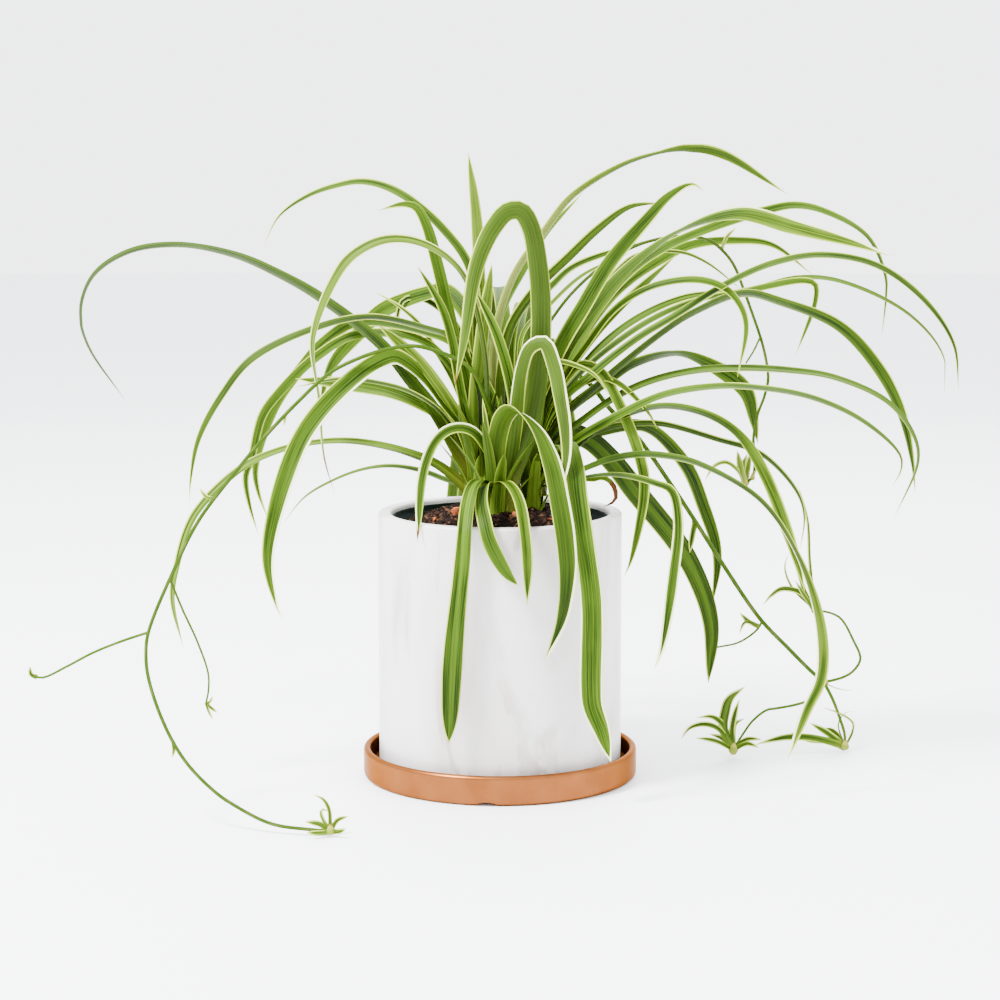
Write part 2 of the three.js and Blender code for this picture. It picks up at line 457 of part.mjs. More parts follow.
// A blade: a grooved strip with a keel, turned about its own line, its faces split alike
function makeBlade(points, widths, turns, hand, keel = BLADE.keel) {
  const curve = new THREE.CatmullRomCurve3(points, false, 'centripetal');
  const up = new THREE.Vector3(0, 0, 1);
  const heading = points.at(-1).clone().sub(points[0]).setZ(0);
  if (heading.length() < 1) heading.set(0, -1, 0);
  const steps = stations(curve);
  const across = heading.normalize().cross(up);
  let last = curve.getTangentAt(0);
  const positions = [];
  const triangles = [];
  steps.forEach((t, n) => {
    const centre = curve.getPointAt(t);
    const tangent = curve.getTangentAt(t);
    across.applyQuaternion(new THREE.Quaternion().setFromUnitVectors(last, tangent));
    across.addScaledVector(tangent, -across.dot(tangent)).normalize();
    last = tangent;
    const normal = across.clone().cross(tangent);
    const turn = hand * THREE.MathUtils.degToRad(spread(turns, t));
    const side = across.clone().multiplyScalar(Math.cos(turn)).addScaledVector(normal, Math.sin(turn));
    const top = side.clone().cross(tangent);
    const half = halfWidth(widths, t);
    const groove = -2 * half * BLADE.groove;
    const ring = n === steps.length - 1
      ? [centre]
      : [
        centre.clone().addScaledVector(side, half),
        centre.clone().addScaledVector(top, groove),
        centre.clone().addScaledVector(side, -half),
        centre.clone().addScaledVector(top, groove - keel),
      ];
    ring.forEach((p) => positions.push(p.x, p.y, p.z));
  });
  const last4 = (steps.length - 2) * 4;
  for (let a = 0; a < last4; a += 4) {
    const b = a + 4;
    triangles.push(a, b, a + 1, a + 1, b, b + 1, a + 1, b + 1, b + 2, a + 1, b + 2, a + 2);
    triangles.push(a + 2, b + 2, a + 3, a + 3, b + 2, b + 3, a + 3, b + 3, b, a + 3, b, a);
  }
  for (let i = 0; i < 4; i += 1) triangles.push(last4 + i, last4 + 4, last4 + (i + 1) % 4);
  triangles.push(0, 1, 3, 1, 2, 3);
  return toSolid(surface(positions, triangles));
}

// A crown: the pale buried stock that the leaves of a rosette grow from
function crownSolid([x, y, tip]) {
  const low = CROWN.soil - CROWN.buried;
  const { radius, soil, sides } = CROWN;
  const stock = turned([
    [0, low], [radius, low + 4], [radius, soil + 3], [radius * 0.7, tip - 8], [0, tip],
  ], sides);
  return toSolid(stock.translate(x, y, 0));
}

// The one body of a union, without the hollows that its blades seal between them. Its vertices
// are set on a fine grid, so that none lie closer together than the grid
function whole(union) {
  const largest = (solid) => solid.decompose().reduce((a, b) => (b.volume() > a.volume() ? b : a));
  let body = largest(union);
  for (let pass = 0; pass < 2; pass += 1) {
    const geometry = toGeometry(body);
    const position = geometry.getAttribute('position');
    position.array.forEach((value, i) => {
      position.array[i] = Math.round(value / GRID) * GRID;
    });
    body = largest(toSolid(geometry));
  }
  return body;
}

function makeRosette(name, leaves, hand) {
  const [x, y, tip] = CROWNS[name];
  let rosette = crownSolid(CROWNS[name]);
  leaves.forEach(([widths, depths, turns, seen]) => {
    const line = slide(depths, seen);
    const lean = line[0].clone().sub(new THREE.Vector3(x, y, line[0].z)).clampLength(0, 4.5);
    const foot = new THREE.Vector3(x + lean.x, y + lean.y, Math.min(tip - 16, line[0].z - 9));
    rosette = rosette.add(makeBlade([foot, ...line], widths, turns, hand));
  });
  return whole(rosette);
}

// A leaf that arches away behind, as a smooth rise and fall along its heading
function rearLine([, heading, reach, rise, tip]) {
  const [x, y] = CROWNS.back;
  const a = THREE.MathUtils.degToRad(heading);
  const high = CROWN.soil + rise;
  const shape = [[0.02, 0.35], [0.1, 0.7], [0.28, 0.94], [0.5, 1]];
  const fall = [[0.72, 0.28], [0.9, 0.7], [1, 1]];
  const rising = shape.map(([u, v]) => [u * reach, CROWN.soil + v * rise]);
  const falling = fall.map(([u, v]) => [u * reach, high + v * (tip - high)]);
  return [...rising, ...falling].map(([r, z]) => (
    new THREE.Vector3(x + r * Math.cos(a), y + r * Math.sin(a), z)));
}

function makeBack() {
  let rosette = makeRosette('back', BACK_LEAVES, -1);
  const [x, y] = CROWNS.back;
  REAR_LEAVES.forEach((leaf) => {
    const line = [new THREE.Vector3(x, y, CROWN.soil + 2), ...rearLine(leaf)];
    rosette = rosette.add(makeBlade(line, leaf[0], [0], 1));
  });
  return whole(rosette);
}

// A stem: a slim round rod along its line
function makeStem(points, radius) {
  const curve = new THREE.CatmullRomCurve3(points, false, 'centripetal');
  const corners = round(0, 0, radius, 0, 360, STEM.sides).slice(1);
  const section = new THREE.Shape(corners.map(([x, y]) => new THREE.Vector2(x, y)));
  const steps = Math.max(3, Math.round(curve.getLength() / STEM.step));
  return toSolid(new THREE.ExtrudeGeometry(section, { extrudePath: curve, steps }));
}

// A bud, or the swollen base that a plantlet's leaves grow from
function makeBud(radius, at) {
  const bud = new THREE.IcosahedronGeometry(radius, 0);
  return toSolid(bud.translate(at.x, at.y, Math.max(at.z, radius + GAP)));
}

// How a true place is seen from the front
function seenFrom({ x, y, z }) {
  const k = 1 - y / EYE.y;
  return new THREE.Vector2(x / k, EYE.z + (z - EYE.z) / k);
}

// A shoot's places, from the nearest place of the stems it grows from, with its depths told from there
function shootLine(nodes, depths, seen) {
  const start = new THREE.Vector2(seen[0], seen[1]);
  const near = (a, b) => (seenFrom(b).distanceTo(start) < seenFrom(a).distanceTo(start) ? b : a);
  const root = nodes.reduce(near);
  return [root, ...slide(depths.map((depth) => root.y + depth), seen).slice(1)];
}

function makeRunner({ stems, buds, leaves }) {
  const [thick, depths, seen] = stems[0];
  const main = [runnerFoot(stems[0]), ...slide(depths, seen)];
  const trace = (line) => new THREE.CatmullRomCurve3(line, false, 'centripetal').getSpacedPoints(300);
  const nodes = trace(main).slice(20);
  let runner = makeStem(main, thick);
  stems.slice(1).forEach(([radius, away, places]) => {
    const line = shootLine(nodes, away, places);
    nodes.push(...trace(line));
    runner = runner.add(makeStem(line, radius));
  });
  buds.forEach(([radius, x, z]) => {
    runner = runner.add(makeBud(radius, shootLine(nodes, [0], [x, z])[0]));
  });
  leaves.forEach(([widths, away, turns, places]) => {
    runner = runner.add(makeBlade(shootLine(nodes, away, places), widths, turns, 1, SMALL_KEEL));
  });
  return whole(runner);
}

// A runner's foot stands in the soil under the first place of its main stem
function runnerFoot([, depths, seen]) {
  const first = place(seen[0], seen[1], depths[0]);
  return new THREE.Vector3(first.x, first.y, CROWN.soil - STEM.hole);
}

const plant = new THREE.Group();

function addNode(name, geometry, colour, roughness, metalness = 0) {
  const material = new THREE.MeshStandardMaterial({ color: colour, roughness, metalness });
  const mesh = new THREE.Mesh(geometry, material);
  mesh.name = name;
  plant.add(mesh);
}

addNode('saucer', makeSaucer(), '#c98a66', 0.35, 1);
addNode('planter', makePlanter(), '#efeeec', 0.4);
addNode('grow_pot', makeGrowPot(), '#1f3b2c', 0.6);

let soil = makeSoil();
function dig(x, y, radius, bottom) {
  const tall = 60;
  const hole = new THREE.CylinderGeometry(radius, radius, tall, CROWN.sides).rotateX(Math.PI / 2);
  soil = soil.subtract(toSolid(hole.translate(x, y, bottom + tall / 2)));
}
Object.values(CROWNS).forEach(([x, y]) => {
  dig(x, y, CROWN.radius + 2 * GAP, CROWN.soil - CROWN.buried - GAP);
});
Object.values(RUNNERS).forEach(({ stems }) => {
  const foot = runnerFoot(stems[0]);
  dig(foot.x, foot.y, stems[0][0] + 2 * GAP, foot.z - GAP);
});
addNode('soil', toGeometry(soil), '#2a1a12', 0.95);
addNode('rosette_left', toGeometry(makeRosette('left', LEFT_LEAVES, 1)), '#5b8c2a', 0.5);
addNode('rosette_front', toGeometry(makeRosette('front', FRONT_LEAVES, 1)), '#5b8c2a', 0.5);
addNode('rosette_right', toGeometry(makeRosette('right', RIGHT_LEAVES, -1)), '#5b8c2a', 0.5);
addNode('rosette_back', toGeometry(makeBack()), '#5b8c2a', 0.5);
Object.entries(RUNNERS).forEach(([name, runner]) => {
  addNode(`runner_${name}`, toGeometry(makeRunner(runner)), '#8aa83a', 0.5);
});

export default plant;
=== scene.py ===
# %% [markdown]
# # A potted spider plant
#
# This lesson dresses a finished CAD model of a spider plant in its planter. The solids give every
# size and place; here each of them gets the shape and finish that the eye expects, mostly with
# Geometry Nodes. The frame is loaded first, because everything else is measured from it. The box
# round the CAD model is kept, so that the dressed plant can be compared with it at the end.

# %% The frame and its box
import math

import bmesh
import bpy
import numpy as np
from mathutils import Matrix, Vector, noise


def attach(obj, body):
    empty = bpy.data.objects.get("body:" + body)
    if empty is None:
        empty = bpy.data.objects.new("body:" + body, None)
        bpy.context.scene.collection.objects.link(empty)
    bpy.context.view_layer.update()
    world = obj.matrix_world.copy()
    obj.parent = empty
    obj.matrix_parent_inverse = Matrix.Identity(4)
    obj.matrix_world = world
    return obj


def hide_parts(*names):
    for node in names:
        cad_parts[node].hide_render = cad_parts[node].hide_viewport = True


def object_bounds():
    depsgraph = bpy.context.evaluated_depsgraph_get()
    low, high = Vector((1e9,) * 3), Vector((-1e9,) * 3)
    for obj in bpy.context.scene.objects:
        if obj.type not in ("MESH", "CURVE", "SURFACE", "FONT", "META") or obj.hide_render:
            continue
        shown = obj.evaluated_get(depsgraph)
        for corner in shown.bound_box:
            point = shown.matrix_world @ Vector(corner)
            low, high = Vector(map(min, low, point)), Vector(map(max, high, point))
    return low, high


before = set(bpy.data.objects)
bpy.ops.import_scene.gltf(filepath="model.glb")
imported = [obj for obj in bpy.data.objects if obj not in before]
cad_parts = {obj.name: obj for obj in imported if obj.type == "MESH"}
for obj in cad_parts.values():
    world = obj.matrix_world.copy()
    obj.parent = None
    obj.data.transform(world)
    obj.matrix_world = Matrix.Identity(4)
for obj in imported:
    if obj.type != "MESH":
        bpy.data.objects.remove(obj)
cad_box = [[float(value) for value in corner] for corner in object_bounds()]
print("CAD box in metres:", cad_box)

# %% [markdown]
# Colours are written as sRGB hex values, but a shader mixes light, so one function turns them to
# linear. A second adds a node of any kind, feeds its sockets and hands back its output, so that a
# tree reads like a list of steps. The same few kinds of node come again and again, so their long
# names are kept here, with the settings that turn a Map Range into a soft step between two limits
# and a Mix into a mix of colours. A noise is told by the size of its lumps in millimetres, and its
# scale is one over that size.

# %% Helpers for colours and nodes
MM = 0.001
MATH, VECTORS, RANGE = "ShaderNodeMath", "ShaderNodeVectorMath", "ShaderNodeMapRange"
MIX, RAMP, NOISE, BUMP = "ShaderNodeMix", "ShaderNodeValToRGB", "ShaderNodeTexNoise", "ShaderNodeBump"
PLACE, JOIN_XYZ, SPLIT_XYZ = "ShaderNodeTexCoord", "ShaderNodeCombineXYZ", "ShaderNodeSeparateXYZ"
FACT, STORED = "ShaderNodeAttribute", "GeometryNodeInputNamedAttribute"
SKIN, SURFACE = "ShaderNodeBsdfPrincipled", "ShaderNodeOutputMaterial"
SOFT = {"interpolation_type": "SMOOTHSTEP"}  # feeds: value, from low, from high, to low, to high
COLOUR = {"data_type": "RGBA", "out": 2}  # feeds: 0 share, 6 first colour, 7 second colour


def paint(code):
    """An sRGB hex code as the linear colour that a shader socket takes, by the sRGB standard."""
    parts = [int(code[i:i + 2], 16) / 255 for i in (1, 3, 5)]
    return (*[c / 12.92 if c <= 0.04045 else ((c + 0.055) / 1.055) ** 2.4 for c in parts], 1.0)


def put(tree, kind, feeds=(), out=0, stops=(), **settings):
    """Adds a node and gives back one of its outputs. A feed is a value or the output of another
    node, in the order of the sockets or by a socket's name or number. Stops are the places and
    hex codes of a colour ramp."""
    node = tree.nodes.new(kind)
    for name, value in settings.items():
        setattr(node, name, value)
    for i, (at, code) in enumerate(stops):
        stop = node.color_ramp.elements[i] if i < 2 else node.color_ramp.elements.new(at)
        stop.position, stop.color = at, paint(code)
    for key, value in feeds.items() if isinstance(feeds, dict) else enumerate(feeds):
        if isinstance(value, bpy.types.NodeSocket):
            tree.links.new(value, node.inputs[key])
        else:
            node.inputs[key].default_value = value
    return node.outputs[out] if node.outputs else node


def new_finish(name):
    """A material and its empty node tree."""
    finish = bpy.data.materials.new(name)
    finish.use_nodes = True
    finish.node_tree.nodes.clear()
    return finish, finish.node_tree


print("mid grey is", round(paint("#808080")[0], 3), "of full light")

# %% [markdown]
# A finished piece sits at the origin, unturned and unscaled, with its place in its mesh. What a
# modifier makes is turned into a plain mesh, and the modifier goes: that is what lets the trees
# stay tidy recipes with named inputs. A modifier knows a tree's inputs by hidden identifiers, so
# the last helper looks them up by name, and runs the tree only once they are all set.

# %% Helpers for pieces and trees
def keep(name, mesh, *finishes):
    """A piece at the origin, with its place in its mesh."""
    piece = bpy.data.objects.new(name, mesh)
    bpy.context.scene.collection.objects.link(piece)
    for finish in finishes:
        mesh.materials.append(finish)
    return piece


def plain_mesh(thing):
    """The evaluated shape of an object as a mesh of its own."""
    graph = bpy.context.evaluated_depsgraph_get()
    return bpy.data.meshes.new_from_object(
        thing.evaluated_get(graph), preserve_all_data_layers=True, depsgraph=graph)


def new_tree(name, **inputs):
    """An empty Geometry Nodes tree with a mesh in, a mesh out and the named inputs."""
    tree = bpy.data.node_groups.new(name, "GeometryNodeTree")
    tree.interface.new_socket("Mesh", in_out="INPUT", socket_type="NodeSocketGeometry")
    for key, kind in inputs.items():
        label = key.replace("_", " ")
        tree.interface.new_socket(label, in_out="INPUT", socket_type="NodeSocket" + kind)
    tree.interface.new_socket("Mesh", in_out="OUTPUT", socket_type="NodeSocketGeometry")
    return tree, tree.nodes.new("NodeGroupInput").outputs


def close_tree(tree, shape, finish):
    """Ends a tree: smooth shading, real geometry instead of instances, and the finish."""
    smooth = put(tree, "GeometryNodeSetShadeSmooth", [shape])
    real = put(tree, "GeometryNodeRealizeInstances", [smooth])
    dressed = put(tree, "GeometryNodeSetMaterial", {"Geometry": real, "Material": finish})
    put(tree, "NodeGroupOutput", [dressed])
    sockets = [item.name for item in tree.interface.items_tree if item.in_out == "INPUT"]
    print("tree with the inputs:", sockets)


def grow(name, start, tree, **inputs):
    """Runs a tree on a mesh and keeps what it makes. Spaces in socket names are written as _."""
    source = keep(name + "_start", start)
    modifier = source.modifiers.new("Grow", "NODES")
    modifier.node_group = tree
    for item in tree.interface.items_tree:
        label = item.name.replace(" ", "_")
        if item.in_out == "INPUT" and label in inputs:
            modifier[item.identifier] = inputs[label]
    piece = keep(name, plain_mesh(source))
    bpy.data.objects.remove(source)
    print(name, "has", len(piece.data.polygons), "faces")
    return piece


print("pieces in the frame:", len(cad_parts))

# %% [markdown]
# The camera stands where the photograph was taken from: about 1.7 m in front, 0.42 m up, looking
# down by not quite 8 degrees through a long lens. Its eye matters for the leaves too, because their
# places are given as seen from it.

# %% Camera
EYE = (-1674.0, 421.0)  # y and z of the eye in millimetres
LOOK_DOWN = 7.8  # degrees
LENS = 88.3  # millimetres, on a 36 mm sensor
FAR_END = 50  # metres

camera_data = bpy.data.cameras.new("Camera")
camera_data.lens = LENS
camera_data.clip_end = FAR_END
camera = bpy.data.objects.new("Camera", camera_data)
camera.location = (0, EYE[0] * MM, EYE[1] * MM)
camera.rotation_euler = (math.radians(90 - LOOK_DOWN), 0, 0)
bpy.context.scene.collection.objects.link(camera)
bpy.context.scene.camera = camera
print("camera at", tuple(camera.location), "with a lens of", LENS, "mm")

# %% [markdown]
# ## How a leaf runs
#
# Each leaf of the solids follows a smooth line through a handful of places. The same tables are
# repeated here, so that the fine leaves lie on the CAD ones. A row holds the leaf's full width, its
# depths from foot to tip, the turns of its blade in degrees, the x and z of its places as seen on
# the plane through the pot's middle, its tone and the width of its pale margin. Lengths are in
# millimetres. A tone of 0 is a deep green, 1 a pale yellow one. Any of these but the places may be
# one value or a few from foot to tip. A line of sight is followed to slide each place to its true
# depth.

# %% From seen places to a smooth line
FLOOR_GAP = 2.4  # millimetres; no place is lower, because a blade has a width
LINE_STEPS = 24  # points of the line from one place to the next
TOO_CLOSE = 1e-4  # keeps two places that coincide from dividing by nothing


def slide(depths, seen):
    """The true places, in millimetres, of places seen at (x, z) and slid to their depths."""
    flat = np.array(seen, float).reshape(-1, 2)
    run = np.concatenate([[0], np.cumsum(np.linalg.norm(np.diff(flat, axis=0), axis=1))])
    share = np.linspace(0, 1, len(flat)) if len(depths) == len(flat) else run / run[-1]
    y = np.interp(share, np.linspace(0, 1, len(depths)), depths)
    k = 1 - y / EYE[0]
    z = np.maximum(EYE[1] + (flat[:, 1] - EYE[1]) * k, FLOOR_GAP)
    return np.column_stack([flat[:, 0] * k, y, z])


def smooth_line(places):
    """A centripetal Catmull-Rom line through the places, which makes no loop at a sharp bend."""
    ends = [2 * places[0] - places[1], *places, 2 * places[-1] - places[-2]]
    line = [places[0]]
    for a, b, c, d in zip(ends, ends[1:], ends[2:], ends[3:]):
        before, here, after = (
            max(math.sqrt(np.linalg.norm(q - p)), TOO_CLOSE) for p, q in ((a, b), (b, c), (c, d)))
        start = ((b - a) / before - (c - a) / (before + here) + (c - b) / here) * here
        end = ((c - b) / here - (d - b) / (here + after) + (d - c) / after) * here
        for t in np.arange(1, LINE_STEPS + 1) / LINE_STEPS:
            bend = (-3 * b + 3 * c - 2 * start - end) * t * t
            line.append(b + start * t + bend + (2 * b - 2 * c + start + end) * t ** 3)
    return np.array(line)


def along_line(line, shares):
    """Points at the given shares of a line's length, and that length."""
    run = np.concatenate([[0], np.cumsum(np.linalg.norm(np.diff(line, axis=0), axis=1))])
    return np.column_stack([np.interp(shares * run[-1], run, line[:, i]) for i in range(3)]), run[-1]


def spread(values, t):
    """Values spread evenly from foot to tip, read between their neighbours."""
    values = np.atleast_1d(values)
    return np.interp(t, np.linspace(0, 1, len(values)), values) if len(values) > 1 else values[0] + 0 * t


slid = slide([50, 50], [100, 300, 100, 300])[0]
print("a place seen at (100, 300), 50 mm behind the middle, is", slid)

# %% [markdown]
# A blade also needs to know which way it faces. Its width starts square to its heading, is carried
# along the line without twisting, and is then turned by the leaf's own turn. Every station along the
# line becomes one loose point that carries what the tree needs: which leaf it belongs to, how far
# along it lies, the half width and the direction of the width. A leaf is a little broader at its
# foot and runs to a point. The higher the power of the point, the later and the blunter it is.

# %% Stations of a leaf
TIP_POWER = 4.0
COMMON_MARGIN = 0.36  # millimetres
NEVER_DRY = 1.2  # past the end of the leaf, so no part of it is brown
LEAF_STATIONS = (12, 90)  # the fewest and the most, without those at the tip
EVEN_UP_TO, TIP_STATIONS = 0.965, (0.975, 0.984, 0.992, 1.0)  # shares of the leaf
LOOK = 0.004  # share of the leaf to look back and ahead for its direction
FLARE, FLARE_END = 0.3, 0.12  # how much broader a foot is, and the share of the leaf where that ends
TAPER_START = 0.5  # share of the leaf
THINNEST = 0.12  # half width in millimetres


def leaf_stations(places, widths, turns, hand, tone, margin=COMMON_MARGIN, spacing=4.0, dry=NEVER_DRY,
                  point=TIP_POWER):
    """What the leaf tree needs to know at each station of one leaf, foot first."""
    places = np.array(places, float)
    line = smooth_line(places)
    length = along_line(line, np.array([1.0]))[1]
    count = int(np.clip(length / spacing, *LEAF_STATIONS))
    t = np.concatenate([np.linspace(0, EVEN_UP_TO, count), TIP_STATIONS])
    points = along_line(line, t)[0]
    ahead = along_line(line, np.minimum(t + LOOK, 1))[0] - along_line(line, np.maximum(t - LOOK, 0))[0]
    heading = (places[-1] - places[0]) * (1, 1, 0)
    heading = Vector(heading if np.linalg.norm(heading) >= 1 else (0, -1, 0)).normalized()
    width_way = heading.cross(Vector((0, 0, 1)))
    last = Vector(ahead[0]).normalized()
    sides = []
    for way, turn in zip(ahead, np.radians(spread(turns, t)) * hand):
        tangent = Vector(way).normalized()
        width_way.rotate(last.rotation_difference(tangent))
        width_way = (width_way - tangent * width_way.dot(tangent)).normalized()
        last = tangent
        up = width_way.cross(tangent)
        sides.append(width_way * math.cos(turn) + up * math.sin(turn))
    foot = 1 + FLARE * (1 - np.clip(t / FLARE_END, 0, 1)) ** 2
    tip = 1 - np.clip((t - TAPER_START) / (1 - TAPER_START), 0, 1) ** point
    half = np.maximum(0.5 * spread(widths, t) * foot * tip, THINNEST)
    return {"place": points, "side": np.array(sides), "along": t, "half": half, "tone": spread(tone, t),
            "margin": spread(margin, t), "dry": spread(dry, t), "length": spread(length, t)}


sample = leaf_stations([(0, 0, 0), (40, 0, 90), (110, 0, 60)], 9, [0], 1, 0.3)
print("a leaf of", round(sample["length"][0]), "mm gets", len(sample["along"]), "stations")

# %% [markdown]
# A stem has the same kind of stations, but is round and has no side. All the strands of a piece then
# go into one mesh of loose points. The fine lines swing out a little wider than the solids at some
# bends, so a station whose edge would leave the box of the CAD model is moved back into it.

# %% Stations of a stem, and all of them as points
STEM_STATIONS = (8, 200)  # the fewest and the most
SECTION_DEPTH = 0.32  # how far a blade's section reaches across its width, in half widths


def stem_stations(places, radii, tone, spacing=3.0):
    """What the stem tree needs to know at each station of one stem or bud, foot first."""
    line = smooth_line(np.array(places, float))
    length = along_line(line, np.array([1.0]))[1]
    t = np.linspace(0, 1, int(np.clip(length / spacing, *STEM_STATIONS)))
    return {"place": along_line(line, t)[0], "side": np.zeros((len(t), 3)), "along": t,
            "half": spread(radii, t), "tone": spread(tone, t), "margin": 0 * t,
            "dry": spread(NEVER_DRY, t), "length": spread(length, t)}


def keep_inside(places, side, half):
    """Moves stations whose edge would leave the CAD box back into it, by a millimetre at most. A
    stem has no side and reaches as far each way."""
    blade_reach = np.sqrt(side ** 2 + SECTION_DEPTH ** 2 * (1 - side ** 2))
    reach = half[:, None] * np.where(side.any(axis=1)[:, None], blade_reach, 1)
    low, high = (np.array(corner) / MM for corner in cad_box)
    return np.clip(places, low + reach, high - reach)


def point_mesh(name, strands):
    """One loose vertex for each station, in metres, with its facts stored as attributes."""
    mesh = bpy.data.meshes.new(name)
    places, side, half = (
        np.concatenate([strand[key] for strand in strands]) for key in ("place", "side", "half"))
    inside = keep_inside(places, side, half)
    moved = round(float(np.abs(inside - places).max()), 2)
    print(name, "has", len(places), "stations, moved by up to", moved, "mm")
    mesh.vertices.add(len(places))
    mesh.vertices.foreach_set("co", (inside * MM).ravel())
    number = np.concatenate([np.full(len(s["along"]), i) for i, s in enumerate(strands)])
    mesh.attributes.new("strand", "INT", "POINT").data.foreach_set("value", number.astype(np.int32))
    mesh.attributes.new("side", "FLOAT_VECTOR", "POINT").data.foreach_set("vector", side.ravel())
    for key in ("along", "half", "tone", "margin", "dry", "length"):
        values = np.concatenate([strand[key] for strand in strands])
        mesh.attributes.new(key, "FLOAT", "POINT").data.foreach_set("value", values)
    return mesh


stem = stem_stations([(0, 0, 0), (0, 40, 60)], 1.5, 0.2)
print("a stem of", round(stem["length"][0]), "mm gets", len(stem["along"]), "stations")

# %% [markdown]
# The tables of the four rosettes, clump by clump. The leaves behind have no seen places: they are
# given by width, heading in degrees, reach, height over the soil and height of the tip.

# %% Leaf tables
LEFT_LEAVES = [
    [11, [4, 20, 60, 90, 110], [45, 30, 22, 12, 30, 55], [-18, 208, -30, 228, -45, 254, -60, 273, -80,
     298, -122, 331, -150, 347, -180, 360, -219, 367, -253.5, 362, -278, 345, -286.5, 320, -281.5, 298,
     -257, 261], 0.1, 0.12],
    [8, [4, 6, 50, 80], [30, 30, 40, 45], [-15, 215, -15, 290, -20, 350, -40, 379, -62, 398, -80, 407,
     -95, 409.5, -110, 407, -130, 400, -150, 386, -161, 365], 0.3, 0.36],
    [9, [2, 8, 10], [60, 60, 75], [-12, 215, -18, 255, -30, 300, -43, 355, -50, 380, -57, 392, -65, 394,
     -82, 390], 0.3, 0.36],
    [8, [0, -12, -22, -28], [35, 40, 40, 70, 22, 30], [-10, 212, -10, 290, -23, 343, -38, 360, -60, 370,
     -80, 370, -100, 360, -112, 345, -128, 303, -124, 260, -121, 222, -114, 196], 0.45, 0.5],
    [8, [2, 0, -8, -16], [25, 30, 35, 45, 50], [-14, 215, -15, 270, -30, 302, -50, 310, -90, 318, -130,
     309, -170, 289, -190, 265, -207, 234, -213, 205, -214, 190], 0.15, 0.36],
    [8, [6, 30, 70, 90], [30, 45, 65, 85, 105, 110], [-16, 215, -14, 265, -30, 299, -50, 308, -97,
     314.5, -120, 301, -135, 284, -155, 255, -168, 215, -167, 200, -160, 178], 0.35, 0.36],
    [7, [8, 34, 54, 60], [30, 30, 55, 95, 105, 110], [-18, 215, -22, 262, -50, 300, -97, 306, -125, 291,
     -153, 264, -163, 250, -171, 220, -175, 208, -173, 190, -167, 168], 0.3, 0.36],
    [[9, 12, 13, 11], [0, -14, -44, -70, -84], [25, 70, 75, 75], [-14, 208, -25, 240, -38, 258, -50,
     275, -64, 287.5, -72, 291, -86, 286, -107, 270, -125, 251, -139, 229, -154, 187, -160.5, 149, -155,
     119, -151.5, 109], 0.3, 0.8],
    [[11, 11, 12, 12, 11], [8, 20, 80, 110], [35, 40, 60, 105, 125], [-14, 215, -12, 270, -20, 315, -38,
     336, -50, 334, -68, 328, -82, 321, -95, 308, -115, 284.5, -124, 256], 0.35, 0.36],
    [5, [8, 50, 70, 66], [40], [-16, 225, -15, 280, -35, 318, -55, 331, -66, 329, -70, 318, -69, 306,
     -64, 296], 0.2, 0.36],
    [7, [2, -5, -9], [80], [-18, 215, -30, 285, -33, 303, -40, 325, -56, 352], 0.3, 0.36],
    [[9, 8, 8], [2, -8, -24, -34], [60, 35, 25, 40, 40, 45], [-26, 203, -44, 217, -62, 224.5, -80,
     229.5, -105, 233, -130, 231.5, -153, 226, -178, 214, -211, 181, -224, 144, -227, 122, -220, 88],
     0.45, 0.36],
    [5, [8, 60, 100], [30, 30, 30, 32, 42], [-26, 201, -40, 207, -55, 212.5, -75, 215.5, -95, 213, -116,
     205, -135, 193.5, -150, 175], 0.35, 0.36],
    [[10, 10, 10, 11, 9], [6, 30, 50], [40, 60, 80, 85], [-22, 215, -35, 246, -55, 259, -75, 267, -97,
     271, -140, 275.5], 0.4, 0.36],
    [6, [4, 0, -4], [25], [-22, 220, -40, 252, -60, 266, -81, 272.5, -110, 275.5, -141, 269.5], 0.3,
     0.36],
    [10, [2, -10, -20], [80, 90, 95], [-18, 215, -25, 240, -40, 266, -55, 286, -70, 301, -83, 312],
     0.58, 0.36],
    [4, [8, 40, 60], [40], [-16, 225, -31, 272, -45, 297, -55, 313, -70, 326, -86, 335], 0.35, 0.36],
    [[8, 10, 10], [2, 4, 6], [90, 105], [-14, 212, -17, 235, -17, 262, -14, 290, -11, 315, -5.5, 354],
     0.5, 0.36],
    [8, [2, 4, 4], [70], [-10, 212, -4, 255, -12, 276, -22, 297], 0.25, 0.36],
]

